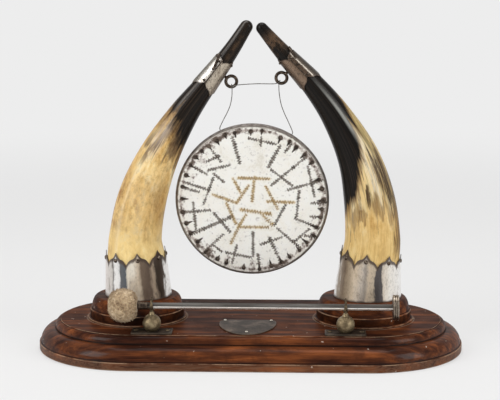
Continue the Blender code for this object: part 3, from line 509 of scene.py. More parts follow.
plinthShape = dict(
    halfSpan=0.134, depth=0.232, height=0.0354, fasciaHeight=0.009, fasciaEasing=0.0008,
    fasciaStep=0.0018, ovoloWidth=0.0160, ovoloHeight=0.0158, creaseWidth=0.0010,
    creaseHeight=0.0012, mouldWidth=0.0065, fillet=0.0008, turns=60, straights=14,
    boreRadius=0.0070, boreDepth=0.0053, boreX=(-0.1323, 0.1384), creaseLevel=0.0264,
    stepLevel=0.0103)
socleShape = dict(
    base=0.0357, height=0.0265, footRadius=0.0582, footHeight=0.0020, drumRadius=0.0555,
    drumHeight=0.0092, ledge=0.0020, topRadius=0.0466)


def ovalRing(radius, height):
    shape = plinthShape
    points = []
    for side in (1.0, -1.0):
        for i in range(shape["turns"] + 1):
            turn = math.radians(-90.0 * side + 180.0 * i / shape["turns"])
            points.append(Vector((side * shape["halfSpan"] + radius * math.cos(turn),
                                  radius * math.sin(turn), height)))
        end = side * shape["halfSpan"]
        for i in range(1, shape["straights"]):
            points.append(Vector((end * (1 - 2 * i / shape["straights"]), side * radius, height)))
    return points


def makePlinth():
    shape = plinthShape
    radius = shape["depth"] / 2
    outline = [(radius - 0.008, 0.0), (radius - shape["fasciaEasing"], 0.0),
               (radius, shape["fasciaEasing"]), (radius, shape["fasciaHeight"]),
               (radius - shape["fasciaStep"], shape["fasciaHeight"] + shape["fasciaEasing"])]
    low = outline[-1]
    ovoloTop = (low[0] - shape["ovoloWidth"], low[1] + shape["ovoloHeight"])
    outline += arcPoints(low, ovoloTop, 14, True)
    crease = outline[-1][0] - shape["creaseWidth"]
    outline += [(crease, outline[-1][1]), (crease, outline[-1][1] + shape["creaseHeight"])]
    mouldTop = (crease - shape["mouldWidth"], shape["height"] - shape["fillet"])
    outline += arcPoints(outline[-1], mouldTop, 10, True)
    outline += [(mouldTop[0], shape["height"]), (mouldTop[0] - 0.006, shape["height"])]
    rows = easeCorners(outline, 0.00045)
    rings = [ovalRing(row[0], row[1]) for row in rows]
    mesh = loftMesh("plinthBoard", rings, None, cornerMarks(rows))
    board = showMesh("plinthBoard", mesh, mahoganyFinish("mahogany plinth", (0.0, 0.0, 0.0), True))
    bore = rodOutline(shape["boreRadius"], -0.001, shape["boreDepth"])
    for x in shape["boreX"]:
        cutAway(board, turnPiece("boreTool", bore, Matrix.Translation((x, 0.0, 0.0)), 40))
    softenMesh(board.data)
    dress(board, "stand", "mahogany", "plinth")


def makeSocle(side):
    shape = socleShape
    ledge = shape["footHeight"] + shape["drumHeight"]
    shoulder = (shape["drumRadius"] - shape["ledge"], ledge + shape["ledge"] / 2)
    foot, drum = shape["footRadius"], shape["drumRadius"]
    outline = [(0.0, 0.0), (foot, 0.0), (foot, shape["footHeight"] * 0.7),
               (drum, shape["footHeight"]), (drum, ledge), shoulder]
    outline += arcPoints(shoulder, (shape["topRadius"], shape["height"]), 12, True)
    outline.append((0.0, shape["height"]))
    place = Matrix.Translation((sideSign[side] * plinthShape["halfSpan"], 0.0, shape["base"]))
    finish = mahoganyFinish("mahogany " + side + " socle", (3.1 * sideSign[side], 1.7, 0.6))
    socle = turnPiece(side + "TurnedSocle", outline, place, 120, 0.0005, finish=finish)
    dress(socle, "stand", "mahogany", side + "_socle")


makePlinth()
for side in sideSign:
    makeSocle(side)
print("plinth and socles turned")


# Horns
hornFoot = 0.0625
hornShape = {
    "left": dict(
        heights=(0.0, 0.0425, 0.0695, 0.1175, 0.1655, 0.2135, 0.2495, 0.2855, 0.3155),
        leans=(0.0017, -0.0007, -0.0012, 0.0081, 0.0275, 0.0561, 0.0829, 0.1101, 0.1296),
        radii=(0.0382, 0.0344, 0.0310, 0.0285, 0.0235, 0.0174, 0.0129, 0.0096, 0.0075)),
    "right": dict(
        heights=(0.0, 0.0425, 0.0695, 0.1175, 0.1655, 0.2135, 0.2495, 0.2855, 0.3138),
        leans=(-0.0044, -0.0073, -0.0097, -0.0048, 0.0085, 0.0345, 0.0620, 0.0959, 0.1206),
        radii=(0.0386, 0.0342, 0.0324, 0.0296, 0.0242, 0.0177, 0.0134, 0.0097, 0.0067)),
}
hornMapHeight = 0.32


def easedValue(places, values, level):
    # a smooth curve through the values, its slopes taken from their neighbours
    last = len(places) - 2
    k = max(i for i in range(last + 1) if i == 0 or places[i] <= level)
    span = places[k + 1] - places[k]
    rise = (values[k + 1] - values[k]) / span
    slopeIn = (values[k + 1] - values[k - 1]) / (places[k + 1] - places[k - 1]) if k else rise
    slopeOut = (values[k + 2] - values[k]) / (places[k + 2] - places[k]) if k < last else rise
    t = (level - places[k]) / span
    return (values[k] * (2 * t ** 3 - 3 * t ** 2 + 1) + values[k + 1] * (3 * t ** 2 - 2 * t ** 3)
            + span * slopeIn * (t ** 3 - 2 * t ** 2 + t) + span * slopeOut * (t ** 3 - t ** 2))


def hornFrame(side, level):
    shape, sign = hornShape[side], sideSign[side]
    places, leans = shape["heights"], shape["leans"]
    near = 0.001
    slope = easedValue(places, leans, level + near) - easedValue(places, leans, level - near)
    slope *= min(1.0, max(0.0, level / 0.060)) / (2 * near)
    growth = Vector((-sign * slope, 0.0, 1.0)).normalized()
    inward = Vector((-sign * growth.z, 0.0, sign * growth.x))
    lean = easedValue(places, leans, level)
    centre = Vector((sign * (plinthShape["halfSpan"] - lean), 0.0, hornFoot + level))
    return centre, inward, growth, easedValue(places, shape["radii"], level)


def hornPoint(side, level, turn, standoff):
    # turn runs in degrees from the inner side to the front
    centre, inward, growth, radius = hornFrame(side, level)
    outward = inward * math.cos(math.radians(turn)) + front * math.sin(math.radians(turn))
    return centre + outward * (radius + standoff), outward


def hornRing(side, level, standoff=0.0):
    sides = 72
    return [hornPoint(side, level, 360.0 * i / sides, standoff)[0] for i in range(sides)]


def hornFinish(side, blackFoot, blackTop, raggedness, shift):
    # black above a ragged line that runs round the horn, from blackFoot on its inner side to
    # blackTop on its outer one; cream below, with brown between
    material, spot = startFinish(side + " horn")
    wrap = spot.node("ShaderNodeUVMap", {"uv_map": "wrap"})
    angle = wrap.part(0) * (2 * math.pi)
    inner = angle.calc("COSINE", angle)
    level = wrap.part(1) * hornMapHeight
    ring = inner.node("ShaderNodeCombineXYZ", {}, {
        0: inner, 1: angle.calc("SINE", angle), 2: level})
    fibre = ring.stretched((2.6, 2.6, 15.0), shift).cloud(1.0, 6.0, 0.62, 0.5)
    streak = ring.stretched((5.5, 5.5, 9.0), shift).cloud(1.0, 4.0, 0.6)
    mottle = spot.stretched((1.0, 1.0, 0.7), shift).cloud(64.0, 8.0, 0.74, 0.15)
    hairs = ring.stretched((26.0, 26.0, 14.0), shift).cloud(1.0, 2.0, 0.5)
    patchy = ring.stretched((2.2, 2.2, 52.0), shift).cloud(1.0, 8.0, 0.74, 0.15)
    edge = (1.0 - inner) * (0.5 * (blackTop - blackFoot)) + blackFoot
    ragged = (level - edge) * 50.0 + (fibre - 0.5) * raggedness + (streak - 0.5) * raggedness * 0.9
    colour = (mottle * 0.6 + fibre * 0.4).ramp(
        (0.37, 186, 142, 82), (0.44, 222, 184, 118), (0.52, 246, 216, 154),
        (0.62, 250, 236, 192))
    foot = 1.0 - level.step(0.045, 0.115)
    colour = colour.lay(foot, 0.55, 248, 220, 150)
    return material, spot, dict(inner=inner, level=level, ragged=ragged, fibre=fibre, streak=streak,
                                mottle=mottle, hairs=hairs, patchy=patchy, colour=colour, ring=ring)


def leftHornFinish():
    material, spot, made = hornFinish("left", 0.182, 0.212, 1.9, (0.0, 0.0, 0.0))
    level, inner, ragged = made["level"], made["inner"], made["ragged"]
    colour = made["colour"]
    browned = level.hump(0.108, 0.060) * 0.9 + (0.0 - inner).step(0.55, 0.95) * 0.9
    colour = colour.lay(browned * made["mottle"].step(0.41, 0.61), 0.62, 160, 112, 58)
    spots = spot.stretched((1.0, 1.0, 0.6), (2.0, 1.0, 4.0)).cloud(170.0, 5.0, 0.7, 0.2)
    spots = spots.step(0.50, 0.66) * (0.14 + level.hump(0.12, 0.07) * 0.34)
    colour = spots.over(colour, tone(160, 116, 62))
    grime = made["patchy"].step(0.46, 0.62) * (0.12 + level.step(0.04, 0.11) * 0.88)
    colour = colour.lay(grime, 0.42, 152, 116, 68)
    # painted highlight: a pale stripe low down on the front of the horn's outer side
    paintedHighlightStripe = inner.hump(-0.62, 0.13) * level.step(0.02, 0.05) * (1.0 - level.step(0.13, 0.17))
    colour = colour.lay(paintedHighlightStripe * made["streak"].step(0.34, 0.56), 0.22, 246, 234, 206)
    fringe = (ragged + (made["patchy"] - 0.5) * 2.6).step(-1.5, 0.1)
    brown = made["mottle"].ramp((0.42, 84, 62, 42), (0.60, 160, 122, 78))
    colour = (fringe * 0.9).over(colour, brown)
    pale = inner.hump(-0.40, 0.50) * level.hump(0.184, 0.034) * made["streak"].step(0.36, 0.50)
    colour = colour.lay(pale, 0.9, 198, 184, 170)
    streaks = (made["fibre"] + (level - 0.160) * 4.0).step(0.54, 0.62) * level.hump(0.170, 0.034)
    colour = colour.lay(streaks, 0.75, 96, 70, 48)
    black = (ragged + (made["patchy"] - 0.5) * 1.6).step(-0.30, 0.60)
    dark = made["hairs"].ramp((0.40, 19, 16, 14), (0.55, 34, 28, 23), (0.70, 58, 47, 38))
    colour = black.over(colour, dark)
    # painted highlight: a grey glossy streak on the black, up the front of the outer side
    wearAndSheen = level.step(0.205, 0.225) * inner.hump(-0.60, 0.20) * made["streak"].step(0.36, 0.54)
    colour = colour.lay(wearAndSheen, 0.7, 132, 126, 120)
    tip = level.step(0.275, 0.285) * inner.hump(0.15, 0.5) * made["mottle"].step(0.46, 0.62)
    colour = colour.lay(tip, 0.55, 92, 70, 50)
    return closeFinish(material, spot, hornSurface(made, black, colour))


# marks on the right horn: the middle's turn as a cosine and its level, the reach both ways,
# strength, and colour
rightHornMarks = {
    "pale": (
        (-0.78, 0.200, 0.56, 0.056, 0.85, 142, 126, 80),
        (-0.22, 0.186, 0.42, 0.052, 0.90, 240, 228, 202),
        (0.25, 0.142, 0.42, 0.044, 0.75, 226, 194, 132),
        (-0.36, 0.140, 0.34, 0.036, 0.85, 222, 208, 180),
        (-0.62, 0.224, 0.30, 0.034, 0.75, 190, 180, 132),
        (0.62, 0.106, 0.66, 0.022, 0.62, 122, 90, 54),
        (-0.40, 0.106, 0.60, 0.022, 0.70, 120, 88, 52)),
    "dark": (
        (-0.76, 0.146, 0.44, 0.050, 0.95, 66, 47, 32),
        (0.00, 0.120, 0.15, 0.030, 0.95, 70, 50, 34),
        (-1.00, 0.094, 0.44, 0.066, 0.95, 46, 33, 25),
        (0.30, 0.098, 0.30, 0.014, 0.70, 104, 74, 44)),
}


def rightHornFinish():
    material, spot, made = hornFinish("right", 0.104, 0.224, 2.0, (5.3, 2.2, 7.1))
    level, inner, ragged = made["level"], made["inner"], made["ragged"]
    fine = made["ring"].stretched((9.0, 9.0, 34.0), (1.0, 6.0, 2.0)).cloud(1.0, 5.0, 0.68, 0.3)
    broad = made["ring"].stretched((2.2, 2.2, 16.0), (4.0, 1.0, 2.0)).cloud(1.0, 4.0, 0.6, 0.4)
    above = (level + (broad - 0.5) * 0.05 + (fine - 0.5) * 0.03).step(0.086, 0.120)
    mixed = fine * 0.62 + broad * 0.38
    colour = above.over(made["colour"], mixed.ramp(
        (0.38, 168, 140, 88), (0.45, 216, 192, 138), (0.52, 234, 214, 168), (0.62, 238, 226, 194)))
    turned, risen = inner + (broad - 0.5) * 0.9, level + (broad - 0.5) * 0.09
    thread = made["ring"].stretched((15.0, 15.0, 26.0), (7.0, 1.0, 3.0)).cloud(1.0, 4.0, 0.66, 0.2)

    def marked(colour, marks, low, high):
        for place, height, wide, tall, share, *paint in marks:
            near = turned.hump(place, wide) * risen.hump(height, tall) + (fine - 0.5) * 1.4
            near = near.step(low, high) * (share * (1.0 - thread.step(0.50, 0.62) * 0.30))
            colour = near.over(colour, tone(*paint))
        return colour

    colour = marked(colour, rightHornMarks["pale"], 0.10, 0.72)
    colour = colour.lay(thread.step(0.50, 0.62) * above, 0.40, 236, 206, 142)
    colour = colour.lay((1.0 - thread.step(0.38, 0.49)) * above, 0.42, 108, 80, 46)
    colour = marked(colour, rightHornMarks["dark"], 0.10, 0.54)
    colour = colour.lay(thread.step(0.52, 0.60) * above, 0.24, 212, 176, 112)
    foot = 1.0 - above
    colour = (foot * 0.28 + foot * thread.step(0.50, 0.60) * 0.30).over(colour, tone(192, 148, 80))
    fringe = (ragged + (fine - 0.5) * 1.6).step(-0.8, 0.0)
    colour = colour.lay(fringe, 0.8, 106, 78, 50)
    black = (ragged + (fine - 0.5) * 0.8).step(-0.2, 0.25)
    dark = made["hairs"].ramp((0.40, 17, 15, 14), (0.55, 28, 24, 21), (0.70, 46, 38, 32))
    colour = black.over(colour, dark)
    # painted highlight: a grey glossy streak on the black, on the front of the outer side
    wearAndSheen = level.hump(0.215, 0.050) * inner.hump(-0.40, 0.19)
    wearAndSheen = wearAndSheen * (0.55 + made["streak"].step(0.40, 0.60) * 0.45)
    colour = colour.lay(wearAndSheen, 0.85, 178, 178, 172)
    tip = level.hump(0.297, 0.015) * (made["mottle"] + (fine - 0.5) * 0.3).step(0.40, 0.58)
    colour = colour.lay(tip, 0.8, 110, 86, 66)
    return closeFinish(material, spot, hornSurface(made, black, colour))


def hornSurface(made, black, colour):
    height = made["fibre"] * 0.3 + made["hairs"] * 0.12 + made["mottle"] * 0.12
    return {
        "Base Color": colour,
        "Roughness": 0.36 - black * 0.12 + made["mottle"] * 0.12,
        "Specular IOR Level": 0.06,
        "Coat Weight": 0.14,
        "Coat Roughness": 0.10,
        "Normal": height.bump(0.3, 0.0007),
    }


def makeHorn(side, material):
    top = hornShape[side]["heights"][-1]
    levels = [0.075, 0.050, 0.025, 0.0]
    rings = [[hornFrame(side, levels[0])[0]]]
    rings += [hornRing(side, level, -0.006 - 0.06 * level) for level in levels[1:]]
    fine = [top * i / 130 for i in range(131)]
    rings += [hornRing(side, level) for level in fine]
    centre, inward, growth, radius = hornFrame(side, top)
    for rise in (12, 24, 36, 48, 60, 72, 82):
        lift = growth * (radius * math.sin(math.radians(rise)))
        drawn = radius * (math.cos(math.radians(rise)) - 1.0)
        rings.append([point + lift for point in hornRing(side, top, drawn)])
        fine.append(top + radius * math.sin(math.radians(rise)))
    rings.append([centre + growth * radius])
    heights = [level / hornMapHeight for level in levels + fine + [top + radius]]
    mesh = loftMesh(side + "HornShell", rings, heights, sharp=50.0)
    dress(showMesh(side + "HornShell", mesh, material), "stand", "horn", side + "_horn")


makeHorn("left", leftHornFinish())
makeHorn("right", rightHornFinish())
print("horns grown")


# Silver collars
collarShape = dict(sheet=0.0008, notch=0.0409, point=0.0145, points=8, flare=0.0005,
                   pinLevel=0.0465, pinRadius=0.0026, pinDome=0.0015,
                   turn={"left": 81.0, "right": 79.0})
tipShape = dict(
    low={"left": 0.2515, "right": 0.2585}, high={"left": 0.2748, "right": 0.2788}, lappets=3,
    upper=0.0058, upperTurn=25.0, lower=0.0088, lowerTurn=38.0, seamTurn=110.0,
    seamPins=(0.04, 0.60, 0.97), pinRadius=0.0017, pinDome=0.0020, beadTurn=97.0, beadRadius=0.0007,
    claspRadius=0.0016, dent=0.00014, bore=(0.0018, 0.006, 0.020),
    # the clasp's rise above the sheet's upper edge, its turn, and its height off the sheet
    clasp={"left": ((-0.0085, 108.0, 0.0003), (-0.0035, 116.0, 0.0006),
                    (0.0010, 126.0, 0.0006), (0.0045, 138.0, 0.0004)),
           "right": ((-0.0040, 128.0, 0.0003), (0.0010, 136.0, 0.0006),
                     (0.0045, 144.0, 0.0006), (0.0075, 150.0, 0.0004))})


def keelEdge(turn, count):
    # 0 in the notches and 1 on the points of an edge that is cut into keel arches
    ramp = abs(2.0 * ((turn * count / 360.0) % 1.0) - 1.0)
    return ramp + 0.11 * math.sin(2.0 * math.pi * ramp)


def sleevePiece(name, rows, heights, carry, material):
    # a sleeve of sheet metal, open at both ends, its wall grown outwards
    shape, loops = skinRings(rows, heights)
    middle = sum((v.co for v in shape.verts), Vector()) / len(shape.verts)
    for face in shape.faces:
        face.normal_update()
    if sum(face.normal.dot(face.calc_center_median() - middle) for face in shape.faces) < 0.0:
        bmesh.ops.reverse_faces(shape, faces=shape.faces)
    mesh = closeShape(name, shape)
    carryNumbers(mesh, carry)
    piece = showMesh(name, mesh, material)
    wall = piece.modifiers.new("wall", "SOLIDIFY")
    wall.thickness = collarShape["sheet"]
    wall.offset = 1.0
    wall.use_even_offset = True
    settle(piece)
    softenMesh(piece.data, 40.0)
    return piece


def collarPoint(side, level, turn, standoff=0.0):
    flare = collarShape["flare"] * (level / collarShape["notch"]) ** 2
    return hornPoint(side, level, turn, seatGap + flare + standoff)


def silverFinish(name, bands, edgeTarnish, fleck, shift, wander=1.0):
    # bands are colours by the share of the way from the outer to the inner side: painted
    # reflections and highlights, with tarnish between them
    material, spot = startFinish(name)
    rim = carried(spot, "rim")
    facing = carried(spot, "facing")
    drawn = spot.stretched((90.0, 90.0, 11.0), shift).cloud(1.0, 4.0, 0.6, 0.4)
    blotch = spot.stretched((1.0, 1.0, 0.6), shift).cloud(95.0, 5.0, 0.64, 0.5)
    fine = spot.stretched((1.0, 1.0, 0.5), shift).cloud(620.0, 3.0, 0.62)
    place = facing * 0.5 + 0.5 + ((drawn - 0.5) * 0.20 + (blotch - 0.5) * 0.12) * wander
    colour = place.ramp(*bands)
    colour = colour.lay(blotch.step(0.54, 0.68), 0.5, 112, 94, 78)
    colour = (fine.step(0.50, 0.64) * fleck).over(colour, tone(74, 62, 52))
    dull = (rim + (blotch - 0.5) * 0.8).step(0.20, 0.66)
    colour = (dull * edgeTarnish).over(colour, tone(72, 56, 46))
    height = drawn * 0.6 + blotch * 0.3 + fine * 0.1
    return closeFinish(material, spot, {
        "Base Color": colour,
        "Metallic": 0.66 - dull * 0.3,
        "Roughness": 0.24 + blotch * 0.16 + dull * 0.14,
        "Normal": height.bump(0.35, 0.0009),
    })


# painted reflections: white and pale bands where the sheet would mirror the bright room and lamps,
# slate-grey streaks where it would mirror darker parts, brown tarnish between
paintedHighlightWhite = (250, 248, 245)
collarReflectionsAndTarnish = {
    "left": ((0.03, 232, 224, 218), (0.12, 214, 208, 202), (0.15, 104, 98, 94), (0.185, *paintedHighlightWhite),
             (0.25, 232, 230, 228), (0.275, 104, 104, 106), (0.37, 92, 98, 104),
             (0.395, 232, 222, 206), (0.47, 252, 244, 228), (0.58, 220, 202, 178),
             (0.64, 124, 106, 90), (0.76, 92, 76, 64), (0.80, 160, 142, 122),
             (0.83, 62, 52, 44), (0.95, 88, 74, 64), (0.98, *paintedHighlightWhite)),
    "right": ((0.02, *paintedHighlightWhite), (0.20, 240, 234, 224), (0.31, 212, 200, 184), (0.335, 88, 84, 84),
              (0.405, 92, 88, 88), (0.43, 206, 190, 168), (0.54, 216, 198, 174),
              (0.60, 170, 160, 150), (0.64, 214, 202, 188), (0.74, 202, 184, 160),
              (0.84, 186, 168, 144), (0.92, 146, 128, 110), (0.95, 166, 152, 136), (0.98, *paintedHighlightWhite)),
}


def makeBaseCollar(side, material):
    shape = collarShape
    turns = [360.0 * i / 192 for i in range(192)]
    phase = shape["turn"][side]
    rows, rim, facing, heights = [], [], [], []
    for k in range(31):
        share = k / 30
        heights.append(share)
        row = []
        for turn in turns:
            top = shape["notch"] + shape["point"] * keelEdge(turn, shape["points"])
            level = top * share
            row.append(collarPoint(side, level, turn + phase)[0])
            rim.append(max(0.0, 1.0 - (top - level) / 0.0075, 0.7 - level / 0.006))
            facing.append(math.cos(math.radians(turn + phase)))
        rows.append(row)
    carry = {"rim": rim, "facing": facing}
    piece = sleevePiece(side + "FootCollar", rows, heights, carry, material)
    dress(piece, "stand", "collar_silver", side + "_base_collar")
    pinTurns = [phase + 360.0 * i / shape["points"] for i in range(shape["points"])]
    spots = [collarPoint(side, shape["pinLevel"], turn, shape["sheet"]) for turn in pinTurns]
    growRivets(side + "FootCollarRivets", spots, shape, rivetFinish)


def makeTipCollar(side, material):
    shape = tipShape
    turns = [360.0 * i / 144 for i in range(144)]
    low, high = shape["low"][side], shape["high"][side]
    rows, rim, facing, heights = [], [], [], []
    for k in range(29):
        share = k / 28
        heights.append(share)
        row = []
        for turn in turns:
            foot = low - shape["lower"] * keelEdge(turn - shape["lowerTurn"], shape["lappets"])
            head = high + shape["upper"] * keelEdge(turn - shape["upperTurn"], shape["lappets"])
            level = foot + (head - foot) * share
            dent = shape["dent"] * noise.noise(Vector((turn / 9.0, level * 420.0, 3.0)))
            row.append(hornPoint(side, level, turn, seatGap + max(0.0, dent))[0])
            rim.append(max(0.0, 1.0 - min(level - foot, head - level) / 0.0016))
            facing.append(math.cos(math.radians(turn)))
        rows.append(row)
    piece = sleevePiece(side + "TipCollar", rows, heights, {"rim": rim, "facing": facing}, material)
    cutAway(piece, turnPiece("shankTool", rodOutline(*shape["bore"]), eyePlace(side), 24))
    softenMesh(piece.data, 40.0)
    dress(piece, "stand", "collar_silver", side + "_tip_collar")
    face, height = seatGap + collarShape["sheet"], high - low
    places = [(low + height * share, shape["seamTurn"]) for share in shape["seamPins"]]
    places += [(high + shape["upper"] * 0.4, shape["upperTurn"] + 120.0 * i) for i in range(3)]
    spots = [hornPoint(side, level, turn, face) for level, turn in places]
    growRivets(side + "TipCollarPins", spots, shape, clampFinish)
    seam = [(low - 0.001 + (height + 0.003) * i / 20, shape["beadTurn"], 0.0003) for i in range(21)]
    clasp = [(high + rise, turn, lift) for rise, turn, lift in shape["clasp"][side]]
    for name, run, thick in (("TipCollarSeam", seam, shape["beadRadius"]),
                             ("TipCollarClasp", clasp, shape["claspRadius"])):
        path = [hornPoint(side, level, turn, face + lift)[0] for level, turn, lift in run]
        dress(growWire(side + name, path, thick, clampFinish), "stand", "collar_silver")


def metalFinish(name, low, middle, high, metallic, rough, grainSize):
    # a metal with patchy tarnish: low is the darkest tarnish and high the brightest rubbed place
    material, spot = startFinish(name)
    edge, hollow = carried(spot, "edge"), carried(spot, "hollow")
    broad, fine = spot.cloud(grainSize, 5.0, 0.6, 0.4), spot.cloud(grainSize * 7.0, 3.0, 0.6)
    colour = (broad * 0.7 + fine * 0.3).ramp((0.34, *low), (0.50, *middle), (0.66, *high))
    colour = colour.lay(edge, 0.55, *high)
    colour = colour.lay(hollow, 0.8, *low)
    return closeFinish(material, spot, {
        "Base Color": colour,
        "Metallic": metallic,
        "Roughness": rough + (0.5 - broad) * 0.3,
        "Normal": (broad * 0.5 + fine * 0.35).bump(0.4, 0.0004),
    })


ironFinish = metalFinish("bronzed iron", (40, 33, 28), (72, 61, 52), (122, 108, 94),
                         0.9, 0.42, 240.0)
wireFinish = metalFinish("hanging wire", (70, 66, 62), (112, 108, 104), (150, 146, 142),
                         0.9, 0.38, 420.0)
rivetFinish = metalFinish("rivet silver", (44, 35, 29), (86, 72, 60), (160, 148, 134),
                          0.9, 0.30, 300.0)
clampFinish = metalFinish("seam clamp", (38, 32, 28), (74, 64, 56), (136, 124, 112),
                          0.9, 0.40, 300.0)

eyeShape = dict(radius=0.0063, wireRadius=0.0019, neck=0.0008, shankRadius=0.0015,
                shankLength=0.011, shoulder=0.0021, level={"left": 0.2655, "right": 0.2715})


def eyePlace(side):
    # the eye's centre, with Z along its shank towards the horn
    centre, inward, growth, radius = hornFrame(side, eyeShape["level"][side])
    reach = radius + seatGap + collarShape["sheet"]
    reach += eyeShape["neck"] + eyeShape["radius"] + eyeShape["wireRadius"]
    return alongFrame(centre + inward * reach, -inward)


makeBaseCollar("left", silverFinish("left foot silver", collarReflectionsAndTarnish["left"], 0.9, 0.15,
                                    (0.0, 0.0, 0.0)))
makeBaseCollar("right", silverFinish("right foot silver", collarReflectionsAndTarnish["right"], 0.9, 0.25,
                                     (7.0, 3.0, 2.0)))
# painted highlights: a bright strip on each tip collar where it would mirror a lamp, with darker
# tarnished sheet and dark edges round it
tipReflectionsAndTarnish = {
    "left": ((0.03, 92, 86, 72), (0.10, 170, 164, 154), (0.16, 236, 232, 224),
             (0.40, 232, 226, 216), (0.455, 70, 58, 50), (0.50, 206, 194, 176),
             (0.80, 184, 172, 154), (0.97, 110, 96, 84)),
    "right": ((0.06, 84, 78, 72), (0.19, 108, 98, 88), (0.215, 196, 188, 176),
              (0.24, 190, 180, 166), (0.265, 76, 62, 52), (0.45, 124, 102, 84),
              (0.70, 138, 116, 98), (0.85, 100, 82, 68), (0.97, 66, 54, 46)),
}
makeTipCollar("left", silverFinish("left tip silver", tipReflectionsAndTarnish["left"], 0.7, 0.7,
                                   (2.0, 5.0, 1.0), 0.6))
makeTipCollar("right", silverFinish("right tip silver", tipReflectionsAndTarnish["right"], 0.6, 0.6,
                                    (9.0, 4.0, 3.0), 0.14))
print("collars fitted")


# Screw eyes and the hanging wire
def makeEye(side):
    shape = eyeShape
    place = eyePlace(side)
    centre = place.translation
    rings, thick = [], shape["wireRadius"]
    tilts = [2 * math.pi * k / 24 for k in range(24)]
    for i in range(72):
        turn = 2 * math.pi * i / 72
        spoke = across * math.cos(turn) + upward * math.sin(turn)
        middle = centre + spoke * shape["radius"]
        rings.append([middle + (spoke * math.cos(tilt) + front * math.sin(tilt)) * thick
                      for tilt in tilts])
    name = side + "ScrewEye"
    eye = showMesh(name, loftMesh(name, rings, loop=True, sharp=60.0), ironFinish)
    root = shape["radius"]
    seat = root + thick
    end = seat + shape["shankLength"]
    wide, narrow = shape["shoulder"], shape["shankRadius"]
    outline = [(0.0, root), (wide, root), (wide, seat - 0.0002), (narrow, seat + 0.0004),
               (narrow, end - 0.003), (0.0, end)]
    cutAway(eye, turnPiece("shankTool", outline, place, 28, 0.0002), "UNION")
    paintMesh(eye.data, ironFinish, 40.0)
    dress(eye, "stand", "dark_iron", side + "_ring_eye")


wireShape = dict(
    radius=0.0005, play=0.0006, frontOffset=0.0010, frontRun=0.0045, bow=0.0009,
    rise={"left": 0.0020, "right": -0.0010}, hook=0.0045, tail=0.0020, rimWall=0.0014,
    legBow=((0.20, 0.0012), (0.38, 0.0032), (0.56, 0.0042), (0.78, 0.0030)),
    contact={"left": Vector((-0.021122, 0.0, 0.308675)),
             "right": Vector((0.033066, 0.0, 0.313743))},
    hole={"left": Vector((-0.034315, -0.000118, 0.257516)),
          "right": Vector((0.047974, 0.000148, 0.252778))},
    holeWay={"left": Vector((-0.409923, -0.051205, 0.910682)),
             "right": Vector((0.512043, -0.04822, 0.857605))})


def wireLeg(side):
    # the wire's path from its tail inside the rim, up to the eye, over it and towards the middle
    shape = wireShape
    hole, way = shape["hole"][side], shape["holeWay"][side]
    sideways = across * -sideSign[side]
    inside = hole - way * (shape["rimWall"] / 2 + shape["radius"] + shape["tail"])
    start = hole + way * (shape["rimWall"] / 2 + shape["tail"])
    lap = eyeShape["wireRadius"] + shape["radius"] + shape["play"]
    contact = shape["contact"][side]
    end = contact - front * lap
    points = [inside + sideways * shape["hook"],
              inside + sideways * (shape["hook"] * 0.5) + way * (shape["tail"] * 0.12),
              inside + sideways * (shape["radius"] * 1.2) + way * (shape["tail"] * 0.5),
              hole, start]
    points += [start.lerp(end, share) + sideways * bow for share, bow in shape["legBow"]]
    points.append(end - upward * eyeShape["wireRadius"])
    inward = (eyePlace(side).translation - contact).normalized()
    for turn in range(0, 181, 30):
        angle = math.radians(turn)
        points.append(contact + (inward * math.sin(angle) - front * math.cos(angle)) * lap)
    for share in (0.3, 1.0):
        ahead = front * (lap + shape["frontOffset"] * share)
        aside = sideways * shape["frontRun"] + upward * shape["rise"][side]
        points.append(contact + ahead + aside * share)
    return points


def smoothRun(a, b, c, d, share):
    # a point between b and c of a smooth curve through all four
    tb = math.sqrt((b - a).length)
    tc = tb + math.sqrt((c - b).length)
    td = tc + math.sqrt((d - c).length)
    t = tb + (tc - tb) * share
    ab, bc, cd = a.lerp(b, t / tb), b.lerp(c, (t - tb) / (tc - tb)), c.lerp(d, (t - tc) / (td - tc))
    abc, bcd = ab.lerp(bc, t / tc), bc.lerp(cd, (t - tb) / (td - tb))
    return abc.lerp(bcd, (t - tb) / (tc - tb))


def makeWire():
    left, right = wireLeg("left"), wireLeg("right")
    right.reverse()
    points = left + [(left[-1] + right[0]) / 2 + upward * wireShape["bow"]] + right
    ends = [2 * points[0] - points[1]] + points + [2 * points[-1] - points[-2]]
    path = []
    for a, b, c, d in zip(ends, ends[1:], ends[2:], ends[3:]):
        runs = max(2, round((c - b).length / 0.0012))
        path += [smoothRun(a, b, c, d, i / runs) for i in range(runs)]
    path.append(points[-1])
    wire = growWire("gongWire", path, wireShape["radius"], wireFinish, 50.0)
    dress(wire, "hanger", "dark_iron", "hanging_wire")


for side in sideSign:
    makeEye(side)
makeWire()
print("wire hung")


